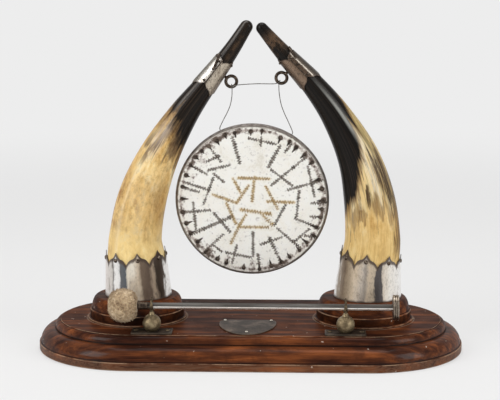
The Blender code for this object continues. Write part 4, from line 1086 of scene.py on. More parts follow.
# Gong
gongShape = dict(
    radius=0.0902, wall=0.0014, rimDepth=0.016, edgeRadius=0.005, taper=0.0015, crown=0.0012,
    holeRadius=0.0013, holeReach=0.0042, strokeStep=0.00150, strokeBar=0.00050,
    strokeHeight=0.00020, dotRadius=0.0825, dotSize=0.0027, dotHeight=0.0006,
    # punch marks, in degrees clockwise from the top
    dotTurns=(-1, 8, 24, 32, 39, 48, 57, 72, 80, 90, 97, 104, 113, 120, 128, 137, 147, 155, 164,
              174, -173, -158, -150, -139, -128, -119, -110, -100, -89, -79, -69, -60, -52, -45,
              -38, -30, -22, -14),
    # dull places on the border in millimetres: right and above the middle, and reach
    smudges=((-58, 50, 17), (-46, 62, 9), (-70, 28, 8), (-52, -60, 11), (-30, -70, 9),
             (2, -78, 12), (60, -54, 9), (74, -22, 8), (8, 76, 9), (78, 22, 7)),
    place=(Matrix.Translation((0.002272, -0.002337, 0.175851))
           @ Matrix.Rotation(math.radians(90.0 + 3.2182), 4, "X")))
# engraved strokes: ends in millimetres right of and above the face's middle, width, and 1 if gilt
gongStrokes = (
    (-16, 27, 20, 26, 4, 1), (3, 28, 0, -1, 4, 1), (-22, 26, -13, 9, 4, 1), (-4, 18, -18, -3, 4, 1),
    (-46, 7, -18, -3, 4, 1), (-30, -3, -19, -28, 4, 1), (-13, -11, 22, -16, 5, 1),
    (-7, -17, -15, -30, 4, 1), (-16, -32, -25, -52, 4, 1), (-16, -32, 19, -32, 4, 1),
    (12, -17, 24, -29, 5, 1), (16, 17, 30, -10, 4, 1), (18, -1, 49, -2, 4, 1),
    (39, -5, 26, -30, 4, 0), (22, 37, 47, 18, 4, 0), (63, 52, 22, 18, 4, 0), (33, 66, 19, 40, 5, 0),
    (-23, 76, -14, 44, 5, 0), (-4, 74, 28, 67, 4, 0), (11, 76, 10, 64, 3, 0),
    (-51, 36, -26, 42, 4, 0), (-45, 32, -33, 22, 4, 0), (-69, 40, -53, 31, 4, 0),
    (-53, 46, -38, 53, 4, 0), (-48, 61, -36, 46, 4, 0), (-81, 22, -50, 12, 4, 0),
    (-79, 14, -62, 10, 4, 0), (-45, 27, -57, -5, 4, 0), (-69, -3, -66, -36, 4, 0),
    (-83, -15, -49, -12, 4, 0), (-45, -15, -26, -38, 4, 0), (-73, -42, -23, -19, 5, 0),
    (-34, -41, -58, -64, 4, 0), (-18, -54, -24, -77, 4, 0), (1, -38, 1, -68, 4, 0),
    (-31, -63, -1, -69, 4, 0), (7, -65, 9, -85, 4, 0), (20, -44, 34, -75, 5, 0),
    (10, -53, 35, -44, 4, 0), (29, -33, 58, -58, 4, 0), (67, -34, 49, -50, 4, 0),
    (50, -21, 79, -33, 4, 0), (55, 12, 52, -19, 4, 0), (65, 41, 73, 5, 4, 0),
    (42, 13, 83, 25, 4, 0), (69, -3, 87, -2, 4, 0), (68, -19, 83, -20, 4, 0),
    (62, -42, 77, -44, 4, 0), (38, 57, 46, 68, 4, 0), (-46, -54, -36, -62, 3, 0),
    (-30, -72, -33, -81, 4, 0))


def gongFaceHeight(x, y, edge):
    return gongShape["crown"] * (1.0 - (x * x + y * y) / edge ** 2)


def faceLift(path, given):
    # raises points onto the crowned face
    share = path.node("GeometryNodeInputPosition").length() / given["edge"]
    rise = share.node("ShaderNodeCombineXYZ", {}, {2: given["crown"] * (1.0 - share * share)})
    return path.node("GeometryNodeSetPosition", {}, {"Geometry": path, "Offset": rise})


def scaled(vector, amount):
    return vector.node("ShaderNodeVectorMath", {"operation": "SCALE"}, {0: vector, "Scale": amount})


def strokeTree():
    # a zig-zag of short bars along every edge, rocked to and fro across it
    tree, given = startTree("rocked strokes", step="Float", bar="Float", height="Float",
                            crown="Float", edge="Float")
    path = given["Geometry"].node("GeometryNodeMeshToCurve", {}, {0: given["Geometry"]})
    path = path.node("GeometryNodeResampleCurve", {"mode": "LENGTH"}, {
        "Curve": path, "Length": given["step"]})
    path = faceLift(path, given)
    count = path.node("GeometryNodeInputIndex")
    swing = count.calc("MODULO", count, 2.0) * 2.0 - 1.0
    varied, rocked = chance(path, 0.60, 1.45, 11), chance(path, 0.3, 1.6, 17)
    along = path.node("GeometryNodeInputTangent")
    aside = along.vector("CROSS_PRODUCT", tuple(upward))
    way = scaled(aside, pointMark(path, "width") * varied).vector(
        "ADD", scaled(along, given["step"] * swing * rocked))
    size = joined(way.length() * 0.5, given["bar"] * varied, given["height"])
    return closeTree(tree, placeOn(path, smoothBall(way, 8, 5), turnTo(way, "X"), size), given)


def punchTree():
    # a round punch mark on every point of the border, with a flame struck inwards from it
    tree, given = startTree("punched border", size="Float", height="Float")
    marks, width, height = given["Geometry"], given["size"], given["height"]
    turn = turnTo(scaled(marks.node("GeometryNodeInputPosition"), -1.0), "X")
    spread = width * chance(marks, 0.78, 1.12, 4)
    dots = placeOn(marks, smoothBall(marks, 20, 8), turn, joined(spread, spread, height))
    wedge = marks.node("GeometryNodeMeshCone", {}, {
        "Vertices": 12, "Side Segments": 3, "Radius Top": 0.10, "Radius Bottom": 0.85,
        "Depth": 1.0})
    wedge = wedge.node("GeometryNodeTransform", {}, {
        "Geometry": wedge, "Rotation": (0.0, math.pi / 2, 0.0)})
    size = joined(pointMark(marks, "flame"), width * 0.7, height * 0.7)
    flames = placeOn(marks, wedge, turn, size)
    both = marks.node("GeometryNodeJoinGeometry")
    for shape in (dots, flames):
        tree.links.new(shape.socket, both.socket.node.inputs[0])
    return closeTree(tree, both, given)


def gongFinish():
    material, spot = startFinish("gong silver")
    stain, golden = carried(spot, "stain"), carried(spot, "golden")
    rim, inside, border = carried(spot, "rim"), carried(spot, "inside"), carried(spot, "border")
    cloud = spot.cloud(30.0, 5.0, 0.6, 0.5)
    speck = spot.moved(3.0, 1.0, 2.0).cloud(230.0, 4.0, 0.68)
    fine = spot.cloud(900.0, 2.0, 0.6)
    colour = (cloud * 0.6 + speck * 0.4).ramp(
        (0.36, 236, 231, 219), (0.44, 252, 249, 241), (0.58, 255, 254, 249))
    colour = colour.lay(speck.step(0.56, 0.66), 0.4, 160, 148, 136)
    struck = (stain + (speck - 0.5) * 1.9 + (cloud - 0.5) * 0.8).step(0.40, 0.95)
    colour = (struck * 0.72).over(colour, golden.over(tone(140, 128, 114), tone(206, 174, 112)))
    colour = colour.lay(golden * (cloud + speck - 0.6).step(0.1, 0.5), 0.65, 222, 198, 150)
    smudge = (border + (cloud - 0.5) * 1.8 + (speck - 0.5) * 1.6).step(0.55, 0.95)
    colour = colour.lay(smudge, 0.7, 158, 138, 128)
    burnt = (border + (cloud - 0.5) * 2.4 + (speck - 0.5) * 2.6).step(0.88, 1.15)
    colour = colour.lay(burnt, 0.85, 80, 64, 52)
    wearAndSheen = (rim + (speck - 0.5) * 0.9 + (cloud - 0.5) * 1.2).step(0.20, 0.60)
    colour = colour.lay(wearAndSheen, 0.9, 86, 73, 63)
    gleam = rim.hump(0.60, 0.22) * (cloud * 0.8 + speck * 0.2).step(0.44, 0.54)
    colour = colour.lay(gleam, 0.8, 226, 218, 208)
    side = rim.step(0.92, 1.0)
    colour = (side * 0.9).over(colour, speck.ramp((0.42, 88, 78, 70), (0.58, 150, 142, 136)))
    colour = (inside * (0.35 + cloud * 0.6)).over(colour, tone(150, 132, 108))
    return closeFinish(material, spot, {
        "Base Color": colour,
        "Metallic": 0.45 - wearAndSheen * 0.15,
        "Roughness": 0.36 + wearAndSheen * 0.16 + inside * 0.1,
        "Normal": (cloud * 0.5 + speck * 0.4 + fine * 0.05).bump(0.4, 0.0008),
    })


def fade(away, reach, peak=1.0):
    # the peak at no distance, falling by 1 over every reach, and kept between 0 and 1
    return np.clip(peak - away / reach, 0.0, 1.0)


def strokeDistance(points, start, end):
    run = end - start
    t = np.clip(((points - start) @ run) / (run @ run), 0.0, 1.0)
    return np.linalg.norm(points - (start + t[:, None] * run), axis=1)


def punchedDots():
    # places of the border's punch marks, and how far a flame is struck from each
    shape, rng = gongShape, random.Random(8)
    dots = []
    for turn in map(math.radians, shape["dotTurns"]):
        away = shape["dotRadius"] * rng.uniform(0.985, 1.015)
        dots.append((away * math.sin(turn), away * math.cos(turn)))
    return dots, [rng.choice((0.006, 0.008, 0.010, 0.013, 0.018)) for dot in dots]


def gongMarks(spots, dots, edge, outerCount):
    # stains, gilding and wear for every point of the pan
    shape = gongShape
    count = len(spots)
    isInside, stain, golden = np.zeros(count), np.zeros(count), np.zeros(count)
    isInside[outerCount:] = 1.0
    flat = spots[:, :2]
    for x0, y0, x1, y1, width, warm in gongStrokes:
        away = strokeDistance(flat * 1000.0, np.array((x0, y0)), np.array((x1, y1)))
        near = fade(away, width * 0.60, 1.25)
        stain = np.maximum(stain, near * (0.75 if warm else 0.85))
        golden = np.maximum(golden, near * warm)
    for dot in dots:
        near = fade(np.linalg.norm(flat - np.array(dot), axis=1), 0.0048, 1.4)
        stain = np.maximum(stain, near)
    away = np.linalg.norm(flat, axis=1)
    border = fade(np.abs(away - shape["dotRadius"] - 0.001), 0.0075)
    for x, y, reach in shape["smudges"]:
        near = fade(np.linalg.norm(flat * 1000.0 - np.array((x, y)), axis=1), reach, 1.3)
        border = np.maximum(border, 0.72 * near)
    rim = np.clip((away - edge - 0.0002) / 0.003, 0.0, 1.0)
    face = 1.0 - isInside
    return {"stain": stain * face, "golden": golden * face, "rim": rim, "inside": isInside,
            "border": border * face}


def makeGong():
    shape = gongShape
    radius, wall, edge = shape["radius"], shape["wall"], shape["radius"] - shape["edgeRadius"]
    back = -shape["rimDepth"]
    outer = [(edge * i / 84, shape["crown"] * (1 - (i / 84) ** 2)) for i in range(85)]
    outer += arcPoints((edge, 0.0), (radius, -shape["edgeRadius"]), 10, False)
    outer += [(radius - shape["taper"] * t, -shape["edgeRadius"] + (back + shape["edgeRadius"]) * t)
              for t in (0.3, 0.6, 0.9, 1.0)]
    inner = [(radius - shape["taper"] - wall, back), (radius - wall, -shape["edgeRadius"])]
    inner += arcPoints(inner[-1], (edge, -wall), 8, True)
    inner += [(edge * i / 10, shape["crown"] * (1 - (i / 10) ** 2) - wall)
              for i in range(9, -1, -1)]
    rings = turnRings(outer + inner, 360, Matrix.Identity(4))
    mesh = loftMesh("gongPan", rings, sharp=40.0)
    spots = np.zeros(len(mesh.vertices) * 3)
    mesh.vertices.foreach_get("co", spots)
    dots, flames = punchedDots()
    outerCount = sum(len(ring) for ring in rings[:len(outer)])
    marks = gongMarks(spots.reshape(-1, 3), dots, edge, outerCount)
    carryNumbers(mesh, {label: values.astype(np.float32) for label, values in marks.items()})
    mesh.transform(shape["place"])
    pan = showMesh("gongPan", mesh, gongFinish())
    hole = rodOutline(shape["holeRadius"], -shape["holeReach"], shape["holeReach"])
    for side in sideSign:
        place = alongFrame(wireShape["hole"][side], wireShape["holeWay"][side])
        cutAway(pan, turnPiece("holeTool", hole, place, 24))
    softenMesh(pan.data, 40.0)
    dress(pan, "gong", "gong_silver", "gong")
    makeStrokes(edge)
    dark = metalFinish("punch mark", (32, 25, 21), (58, 47, 40), (118, 104, 92), 0.5, 0.42, 260.0)
    points = [(x, y, gongFaceHeight(x, y, edge)) for x, y in dots]
    mesh = pointMesh("punchedBorder", points, carry={"flame": flames})
    piece = growPiece("punchedBorder", mesh, punchTree(), shape["place"], size=shape["dotSize"],
                      height=shape["dotHeight"], finish=dark)
    dress(piece, "gong", "gong_silver")


def makeStrokes(edge):
    shape = gongShape
    grey = metalFinish("struck line", (44, 37, 31), (78, 68, 59), (140, 128, 114), 0.3, 0.55, 330.0)
    warm = metalFinish("struck gilt line", (112, 88, 54), (160, 132, 86), (206, 180, 130),
                       0.4, 0.5, 300.0)
    for label, wanted, finish in (("greyStrokes", 0, grey), ("warmStrokes", 1, warm)):
        chosen = [stroke for stroke in gongStrokes if stroke[5] == wanted]
        points = [Vector((x / 1000, y / 1000, 0.0)) for x0, y0, x1, y1, w, k in chosen
                  for x, y in ((x0, y0), (x1, y1))]
        edges = [(2 * i, 2 * i + 1) for i in range(len(chosen))]
        widths = [stroke[4] / 1000 for stroke in chosen for end in (0, 1)]
        mesh = pointMesh(label, points, edges, carry={"width": widths})
        piece = growPiece(label, mesh, strokeTree(), shape["place"], step=shape["strokeStep"],
                          bar=shape["strokeBar"], height=shape["strokeHeight"],
                          crown=shape["crown"], edge=edge, finish=finish)
        dress(piece, "gong", "gong_silver")


makeGong()
print("gong struck")


# Ball rests
restShape = dict(
    x={"left": -0.1094, "right": 0.1109}, y=-0.077, plateLength=0.0465, plateWidth=0.024,
    plateBase=0.0357, plateThickness=0.0018, plateCorner=0.002, screwSpacing=0.0365,
    screwRadius=0.0014, screwHead=0.0028, screwDome=0.0013, screwLength=0.009, ballRadius=0.0105,
    footRadius=0.0066, ballCentre=0.046266, neckRadius=0.0040, neckHeight=0.0036,
    lipRadius=0.0025, stemRadius=0.0017, stemDepth=0.0080, spigotRadius=0.0020,
    spigotLength=0.0080, forkBase=0.061175, forkThickness=0.0015, rootWidth=0.0062,
    tipWidth=0.0014, reach=0.0058, rodRadius=0.0035, rodHeight=0.066475)
brassFinish = metalFinish("rest brass", (78, 66, 49), (126, 110, 84), (176, 160, 127),
                          0.8, 0.48, 120.0)
forkFinish = metalFinish("rest fork brass", (46, 38, 30), (86, 73, 56), (146, 130, 102),
                         0.75, 0.42, 200.0)
plateFinish = metalFinish("rest plate brass", (26, 21, 17), (50, 41, 33), (98, 85, 70),
                          0.6, 0.44, 120.0)


def roundedPlate(name, corners, low, high, edge, finish):
    # a flat plate with the outline given, its upper arris eased
    middle = sum((Vector(c) for c in corners), Vector((0.0, 0.0))) / len(corners)

    def drawnIn(amount, height):
        points = []
        for corner in corners:
            away = Vector(corner) - middle
            points.append(Vector((*(middle + away * (1 - amount / away.length)), height)))
        return points

    rings = [drawnIn(edge * 6, low), drawnIn(0.0, low), drawnIn(0.0, high - edge),
             drawnIn(edge * 0.3, high - edge * 0.3), drawnIn(edge, high), drawnIn(edge * 5, high)]
    carry = {"edge": [0.0, 0.0, 0.5, 1.0, 0.4, 0.0], "hollow": [0.0] * 6}
    return showMesh(name, loftMesh(name, rings, None, carry, sharp=30.0), finish)


def slottedPin(name, place, radius, head, dome, length, finish, slot):
    # a domed pin, with a slot across its head if slot is an angle
    outline = [(0.0, -length), (radius, radius - length), (radius, 0.0), (head, 0.0),
               (head, dome * 0.12)]
    outline += [(head * math.cos(t), dome * 0.12 + dome * 0.88 * math.sin(t))
                for t in (math.pi / 2 * i / 8 for i in range(1, 8))]
    outline.append((0.0, dome))
    pin = turnPiece(name, outline, Matrix.Translation(place), 32, 0.00015, finish=finish)
    if slot:
        shape = bmesh.new()
        size = Matrix.Diagonal((head * 2.4, 0.0006, dome, 1.0))
        middle = Vector(place) + upward * dome * 1.05
        turned = Matrix.Translation(middle) @ Matrix.Rotation(slot, 4, "Z")
        bmesh.ops.create_cube(shape, size=1.0, matrix=turned @ size)
        cutAway(pin, showMesh("slotTool", closeShape("slotTool", shape)))
        paintMesh(pin.data, finish, 35.0)
    return pin


def makeRest(side):
    shape = restShape
    centre = Vector((shape["x"][side], shape["y"], 0.0))
    halfX, halfY = shape["plateLength"] / 2, shape["plateWidth"] / 2
    corner = shape["plateCorner"]
    outline = []
    for signX, signY, start in ((1, 1, 0.0), (-1, 1, 90.0), (-1, -1, 180.0), (1, -1, 270.0)):
        for i in range(7):
            turn = math.radians(start + 15.0 * i)
            outline.append((centre.x + signX * (halfX - corner) + corner * math.cos(turn),
                            centre.y + signY * (halfY - corner) + corner * math.sin(turn)))
    low, high = shape["plateBase"], shape["plateBase"] + shape["plateThickness"]
    plate = roundedPlate(side + "RestPlate", outline, low, high, 0.0004, plateFinish)
    dress(plate, "stand", "rest_brass", side + "_rest_plate")
    seat = high + seatGap
    for end, sign, slot in (("inner", -1.0, 0.5), ("outer", 1.0, 2.1)):
        aside = across * (sideSign[side] * sign * shape["screwSpacing"] / 2)
        place = centre + aside + upward * seat
        pin = slottedPin(side + "RestScrew" + end.capitalize(), place, shape["screwRadius"],
                         shape["screwHead"], shape["screwDome"], shape["screwLength"], forkFinish,
                         slot)
        dress(pin, "stand", "rest_brass", side + "_rest_screw_" + end)
    radius, ball = shape["ballRadius"], shape["ballCentre"]
    lowTurn = -math.acos(shape["footRadius"] / radius)
    highTurn = math.acos(shape["neckRadius"] / radius)
    spigot, end = shape["spigotRadius"], seat - shape["spigotLength"]
    outline = [(0.0, end), (spigot, end), (spigot, seat), (shape["footRadius"], seat)]
    outline += [(radius * math.cos(t), ball + radius * math.sin(t))
                for t in (lowTurn + (highTurn - lowTurn) * i / 26 for i in range(27))]
    lip = ball + math.sqrt(radius ** 2 - shape["neckRadius"] ** 2) + shape["neckHeight"]
    bore = shape["stemRadius"] + seatGap
    bottom = shape["forkBase"] - shape["stemDepth"] - seatGap
    waist = ((shape["neckRadius"] + shape["lipRadius"]) / 2 - 0.00025,
             lip - shape["neckHeight"] * 0.5)
    outline += [waist, (shape["lipRadius"], lip), (bore, lip), (bore, bottom), (0.0, bottom)]
    place = Matrix.Translation(centre)
    turned = turnPiece(side + "RestBall", outline, place, 56, 0.0002, 30.0, brassFinish)
    dress(turned, "stand", "rest_brass", side + "_rest_ball")
    makeFork(side, centre)


def makeFork(side, centre):
    # a strip bent round the rod, widest below it, drawn out to two narrow tips, on a round stem
    shape = restShape
    base = centre + upward * shape["rodHeight"]
    radius = shape["rodRadius"] + seatGap + shape["forkThickness"] / 2
    tip = shape["reach"] + shape["rodRadius"]
    path = [(-radius, tip * (1 - i / 8)) for i in range(8)]
    path += [(radius * math.cos(t), radius * math.sin(t))
             for t in (math.pi + math.pi * i / 24 for i in range(25))]
    path += [(radius, tip * i / 8) for i in range(1, 9)]
    length = [0.0]
    for a, b in zip(path, path[1:]):
        length.append(length[-1] + math.dist(a, b))
    rings = []
    for k, (back, up) in enumerate(path):
        before, after = path[max(0, k - 1)], path[min(len(path) - 1, k + 1)]
        run = Vector((0.0, after[0] - before[0], after[1] - before[1])).normalized()
        thick = Vector((0.0, -run.z, run.y)) * (shape["forkThickness"] / 2)
        away = abs(2 * length[k] / length[-1] - 1)
        half = (shape["rootWidth"] + (shape["tipWidth"] - shape["rootWidth"]) * away ** 0.8) / 2
        middle = base + Vector((0.0, back, up))
        ring = []
        for i in range(16):
            turn = 2 * math.pi * i / 16
            wide = math.copysign(abs(math.cos(turn)) ** 0.5, math.cos(turn))
            deep = math.copysign(abs(math.sin(turn)) ** 0.6, math.sin(turn))
            ring.append(middle + across * (half * wide) + thick * deep)
        rings.append(ring)
    name = side + "RestFork"
    fork = showMesh(name, loftMesh(name, rings, sharp=45.0), forkFinish)
    stem = rodOutline(shape["stemRadius"], shape["forkBase"] - shape["stemDepth"],
                      shape["forkBase"] + shape["forkThickness"] * 0.5)
    cutAway(fork, turnPiece("stemTool", stem, Matrix.Translation(centre), 24), "UNION")
    paintMesh(fork.data, forkFinish, 40.0)
    dress(fork, "stand", "rest_brass", side + "_rest_fork")


for side in sideSign:
    makeRest(side)
print("rests seated")


# Beater
beaterShape = dict(
    rodRadius=0.0035, headRadius=0.0197, headLength=0.0332, headCentre=-0.1423, rodInHead=0.012,
    ferruleRadius=0.0042, ferruleLength=0.0123, capRadius=0.0145, capThickness=0.0068,
    capFace=0.1640, capBore=0.0045, capEasing=0.0008, capGroove=0.0007, fibres=5200,
    fibreLength=0.0022)


def beaterPlace(x):
    return alongFrame(Vector((x, restShape["y"], restShape["rodHeight"])), across)


def rodFinish():
    material, spot = startFinish("rod silver")
    height = spot.moved(0.0, 0.0, -restShape["rodHeight"]).part(2) / beaterShape["rodRadius"]
    smear = spot.stretched((14.0, 160.0, 160.0)).cloud(1.0, 4.0, 0.6)
    speck = spot.moved(2.0, 0.0, 1.0).cloud(420.0, 3.0, 0.6)
    # painted reflection: the upper half is painted dark, with a darker line just above the middle,
    # and the lower half bright, as the rod would mirror a dark room above and the bright floor
    # below; the dark upper half is also rougher and less metallic
    lean = height + (smear - 0.5) * 0.30
    top = lean.step(-0.14, 0.02)
    colour = smear.ramp((0.36, 222, 214, 206), (0.50, 246, 240, 232), (0.64, 254, 251, 247))
    colour = (top * 0.95).over(colour, smear.ramp((0.40, 54, 51, 48), (0.60, 92, 89, 85)))
    colour = colour.lay(lean.hump(0.10, 0.16), 0.6, 22, 19, 17)
    restEnd = restShape["x"]["left"]
    stained = 1.0 - spot.part(0).step(restEnd - 0.0004, restEnd + 0.0006)
    colour = colour.lay(stained, 0.92, 52, 42, 35)
    colour = colour.lay(speck.step(0.60, 0.74), 0.5, 92, 84, 76)
    return closeFinish(material, spot, {
        "Base Color": colour,
        "Metallic": 0.72 - top * 0.52,
        "Roughness": 0.20 + smear * 0.16 + top * 0.25,
        "Specular IOR Level": 0.2,
        "Normal": (smear * 0.4 + speck * 0.1).bump(0.2, 0.0003),
    })


def feltFinish():
    material, spot = startFinish("beater felt")
    tuft = spot.cloud(210.0, 5.0, 0.65, 1.2)
    lump = spot.cloud(70.0, 3.0, 0.5)
    colour = (tuft * 0.7 + lump * 0.3).ramp(
        (0.38, 126, 100, 72), (0.47, 172, 146, 112), (0.56, 200, 176, 142), (0.66, 226, 208, 178))
    return closeFinish(material, spot, {
        "Base Color": colour,
        "Roughness": 0.96,
        "Sheen Weight": 0.25,
        "Sheen Roughness": 0.6,
        "Normal": (tuft * 0.8 + lump * 0.4).bump(0.8, 0.0012),
    })


def fibreTree():
    # short bent hairs on every point, leaning every way
    tree, given = startTree("felt fibres", length="Float")
    area = given["Geometry"].node("GeometryNodeMeshToPoints", {}, {"Mesh": given["Geometry"]})
    lean = area.node("FunctionNodeRandomValue", {"data_type": "FLOAT_VECTOR"}, {
        0: (-1.25, -1.25, -1.25), 1: (1.25, 1.25, 1.25), "Seed": 21})
    turn = turnTo(pointMark(area, "outward", "FLOAT_VECTOR").vector("ADD", lean), "Z")
    arc = area.node("GeometryNodeCurvePrimitiveBezierSegment", {}, {
        "Resolution": 4, "Start": (0.0, 0.0, -0.2), "Start Handle": (0.0, 0.0, 0.3),
        "End Handle": (0.35, 0.1, 0.6), "End": (0.6, 0.25, 0.75)})
    size = chance(area, 0.5, 1.2, 5) * given["length"]
    return closeTree(tree, placeOn(area, tubeAlong(arc, 3, 0.075), turn, size), given)


def makeBeater():
    shape = beaterShape
    bore = shape["rodRadius"] + seatGap
    face = shape["headCentre"] + shape["headLength"] / 2
    start, end = face - shape["rodInHead"], shape["capFace"] + shape["capBore"] - seatGap
    outline = rodOutline(shape["rodRadius"], 0.0, end - start)
    rod = turnPiece("beaterRodBar", outline, beaterPlace(start), 48, 0.0002, finish=rodFinish())
    dress(rod, "beater", "rod_silver", "beater_rod")
    radius, length = shape["ferruleRadius"], shape["ferruleLength"]
    profile = [(0.0006, 0.0), (0.0006, 0.18), (0.0, 0.24), (0.0, 0.46), (0.0003, 0.50), (0.0, 0.54),
               (0.0, 0.82), (0.0002, 0.86), (-0.0002, 1.0)]
    outline = [(bore, 0.0), *((radius + out, length * share) for out, share in profile),
               (bore, length), (bore, 0.0)]
    rows = easeCorners(outline, 0.00012)[:-1]
    rings = turnRings(rows, 48, beaterPlace(face + seatGap))
    mesh = loftMesh("beaterFerruleSleeve", rings, None, cornerMarks(rows), loop=True)
    sleeve = showMesh("beaterFerruleSleeve", mesh, ironFinish)
    dress(sleeve, "beater", "dark_iron", "beater_ferrule")
    radius, thick = shape["capRadius"], shape["capThickness"]
    eased, groove = radius - shape["capEasing"], radius - shape["capGroove"]
    bands = ((0.28, radius), (0.33, groove), (0.38, groove), (0.43, radius),
             (0.60, radius), (0.65, groove), (0.70, groove), (0.75, radius))
    outline = [(0.0, shape["capBore"]), (bore, shape["capBore"]), (bore, 0.0), (eased, 0.0),
               (radius, shape["capEasing"]), *((out, thick * share) for share, out in bands),
               (radius, thick - shape["capEasing"]), (eased, thick), (radius * 0.72, thick),
               (radius * 0.68, thick - 0.0005), (0.0, thick - 0.0005)]
    capFinish = metalFinish("cap silver", (62, 50, 42), (118, 102, 88), (206, 196, 180),
                            0.92, 0.34, 130.0)
    cap = turnPiece("beaterCapDisc", outline, beaterPlace(shape["capFace"]), 72, 0.0002,
                    finish=capFinish)
    dress(cap, "beater", "rod_silver", "beater_end_cap")
    makeHead(bore)


def makeHead(bore):
    shape = beaterShape
    half, radius = shape["headLength"] / 2, shape["headRadius"]
    place = beaterPlace(shape["headCentre"])
    rows = [(0.0, -half)]
    for i in range(1, 48):
        turn = math.pi * i / 48
        rows.append((radius * math.sin(turn) ** 0.62, -half * math.cos(turn)))
    rows += [(bore * 1.6, half), (bore, half), (bore, half - shape["rodInHead"] - seatGap),
             (0.0, half - shape["rodInHead"] - seatGap)]
    mesh = loftMesh("feltHead", turnRings(rows, 96, place), sharp=60.0)
    centre = place.translation
    outward = []
    for vertex in mesh.vertices:
        away = vertex.co - centre
        if (away.cross(across)).length < bore * 1.9:
            continue
        way = away.normalized()
        lump = noise.fractal(way * 3.4, 1.0, 2.0, 4) * 0.00085
        lump += noise.fractal(way * 11.0, 1.0, 2.0, 3) * 0.0006
        vertex.co += way * (min(0.0, lump - 0.0012))
        outward.append((vertex.co.copy(), way))
    head = showMesh("feltHead", mesh, feltFinish())
    mesh.update()
    softenMesh(mesh, 60.0)
    rng = random.Random(17)
    chosen = [outward[rng.randrange(len(outward))] for i in range(shape["fibres"])]
    root = 0.0005
    spots = [spot + Vector([rng.uniform(-1, 1) for axis in range(3)]) * root - way * root
             for spot, way in chosen]
    mesh = pointMesh("feltHeadFibres", spots, outward=[way for spot, way in chosen])
    fibres = growPiece("feltHeadFibres", mesh, fibreTree(), length=shape["fibreLength"],
                       finish=head.data.materials[0])
    dress(head, "beater", "felt", "beater_head")
    dress(fibres, "beater", "felt")


makeBeater()
print("beater laid")


# Plaque
plaqueShape = dict(width=0.066, length=0.068, x=-0.0015, back=-0.020, base=0.0357,
                   thickness=0.0010, pinInset=0.006, tipInset=0.010, pinRadius=0.0008,
                   pinHead=0.0018, pinDome=0.0011, pinLength=0.006)


def makePlaque():
    shape = plaqueShape
    half, shoulder = shape["width"] / 2, shape["length"] * 0.28
    right = [(half, -shoulder * 0.45)]
    for i in range(1, 22):
        turn = 0.5 * math.pi * i / 22
        drop = (shape["length"] - shoulder) * math.sin(turn) ** 1.25
        right.append((half * math.cos(turn), -shoulder - drop))
    left = [(-x, y) for x, y in reversed(right)]
    outline = [(-half * 0.80, 0.0), (half * 0.80, 0.0), (half * 0.93, -shoulder * 0.18)]
    outline += right + [(0.0, -shape["length"])] + left + [(-half * 0.93, -shoulder * 0.18)]
    corners = [(shape["x"] + x, shape["back"] + y) for x, y in outline]
    pewter = metalFinish("plaque pewter", (38, 29, 22), (62, 50, 40), (114, 94, 76),
                         0.15, 0.55, 70.0)
    top = shape["base"] + shape["thickness"]
    plate = roundedPlate("plaquePlate", corners, shape["base"], top, 0.0003, pewter)
    dress(plate, "stand", "plaque_pewter", "plaque")
    bright = metalFinish("bright pin", (170, 160, 144), (226, 220, 206), (250, 247, 240),
                         0.85, 0.32, 260.0)
    out, back = half - shape["pinInset"], -shape["pinInset"] * 0.6
    places = {"left": (-out, back), "right": (out, back),
              "front": (0.0, shape["tipInset"] - shape["length"])}
    for end, (x, y) in places.items():
        place = (shape["x"] + x, shape["back"] + y, top + seatGap)
        pin = slottedPin("plaquePin" + end.capitalize(), place, shape["pinRadius"],
                         shape["pinHead"], shape["pinDome"], shape["pinLength"], bright, 0.0)
        dress(pin, "stand", "pin_silver", "plaque_pin_" + end)


def woodFinish():
    material, spot = startFinish("core softwood")
    rings = spot.stretched((60.0, 60.0, 6.0)).cloud(1.0, 5.0, 0.6, 0.4)
    return closeFinish(material, spot, {
        "Base Color": rings.ramp((0.35, 150, 108, 66), (0.65, 206, 168, 118)),
        "Roughness": 0.7,
        "Normal": rings.bump(0.3, 0.0005),
    })


makePlaque()
hiddenWood = woodFinish()
for side in sideSign:
    for name, finish in (("_horn_core", hiddenWood), ("_fixing_screw", ironFinish)):
        paintMesh(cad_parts[side + name].data, finish)
print("plaque pinned")


# Floor, backdrop and light
studio = dict(
    floorFront=-40.0, floorBack=4.6, floorLevel=-0.0002, halfWidth=40.0, wallHeight=4.0, bend=1.2,
    paper=tone(236, 236, 236), glow=tone(237, 237, 237), room=tone(246, 245, 243),
    roomStrength=0.42)
softboxes = {
    "leftSoftbox": dict(place=(-1.5, -1.1, 1.1), aim=(0.0, 0.0, 0.15), size=(0.9, 1.4), watts=20.0),
    "rightSoftbox": dict(place=(1.6, -0.9, 1.0), aim=(0.0, 0.0, 0.15), size=(0.9, 1.4), watts=15.0),
    "topSoftbox": dict(place=(0.0, 0.2, 2.0), aim=(0.0, 0.0, 0.1), size=(1.4, 1.0), watts=16.0),
}
# the photo's own view of the object
viewpoint = dict(place=(0.0618, -1.7742, 0.4730), aim=(-0.0002, 0.0, 0.1759), lens=110.61,
                 sensor=36.0, clip=(0.05, 100.0))


def standAt(name, data, place, aim):
    # a lamp or camera at its place, looking at its aim
    stood = bpy.data.objects.new(name, data)
    stood.location = place
    stood.rotation_mode = "QUATERNION"
    stood.rotation_quaternion = (Vector(aim) - Vector(place)).to_track_quat("-Z", "Y")
    bpy.context.scene.collection.objects.link(stood)
    return stood


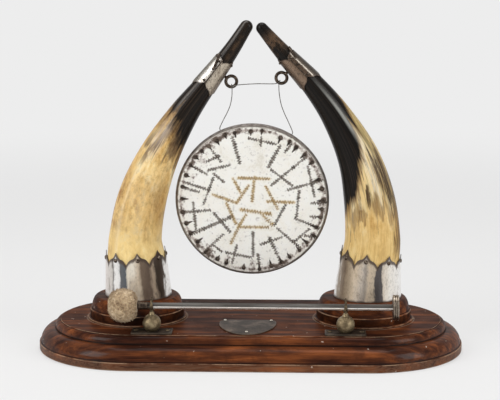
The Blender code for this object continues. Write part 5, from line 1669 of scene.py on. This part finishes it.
def makeStage():
    level, bend = studio["floorLevel"], studio["bend"]
    start = studio["floorBack"] - bend
    rows = [(studio["floorFront"], level), (0.0, level), (start, level)]
    for i in range(1, 13):
        turn = 0.5 * math.pi * i / 12
        rows.append((start + bend * math.sin(turn), bend * (1 - math.cos(turn)) + level))
    rows.append((studio["floorBack"], studio["wallHeight"]))
    points = [(x, y, z) for y, z in rows for x in (-studio["halfWidth"], studio["halfWidth"])]
    faces = [(2 * i, 2 * i + 1, 2 * i + 3, 2 * i + 2) for i in range(len(rows) - 1)]
    mesh = bpy.data.meshes.new("paperSweep")
    mesh.from_pydata(points, [], faces)
    mesh.shade_smooth()
    material, spot = startFinish("paper sweep")
    ray = spot.node("ShaderNodeLightPath").socket.node.outputs
    seen = Field(spot.tree, ray["Is Camera Ray"]) + Field(spot.tree, ray["Is Glossy Ray"])
    seen = (seen + Field(spot.tree, ray["Is Transmission Ray"])).calc("MINIMUM", seen, 1.0)
    matt = spot.node("ShaderNodeBsdfDiffuse", {}, {"Color": studio["paper"]})
    glow = spot.node("ShaderNodeEmission", {}, {"Color": studio["glow"], "Strength": 1.0})
    share = seen * (0.6 + spot.length().step(0.5, 2.2) * 0.4)
    plugSurface(matt.node("ShaderNodeMixShader", {}, {0: share, 1: matt, 2: glow}))
    showMesh("paperSweep", mesh, material)


def makeLight(name, lampShape):
    lamp = bpy.data.lights.new(name, "AREA")
    lamp.shape = "RECTANGLE"
    lamp.size, lamp.size_y = lampShape["size"]
    lamp.energy = lampShape["watts"]
    standAt(name, lamp, lampShape["place"], lampShape["aim"])


def makeWorld():
    world = bpy.data.worlds.new("studio")
    bpy.context.scene.world = world
    world.use_nodes = True
    world.node_tree.nodes.clear()
    plugSurface(Field(world.node_tree).node("ShaderNodeBackground", {}, {
        "Color": studio["room"], "Strength": studio["roomStrength"]}), "ShaderNodeOutputWorld")


def makeCamera():
    lens = bpy.data.cameras.new("view")
    lens.sensor_fit = "HORIZONTAL"
    lens.sensor_width = viewpoint["sensor"]
    lens.lens = viewpoint["lens"]
    lens.clip_start, lens.clip_end = viewpoint["clip"]
    bpy.context.scene.camera = standAt("view", lens, viewpoint["place"], viewpoint["aim"])


makeStage()
for name, lampShape in softboxes.items():
    makeLight(name, lampShape)
makeWorld()
makeCamera()
bpy.context.scene.view_settings.view_transform = "Standard"
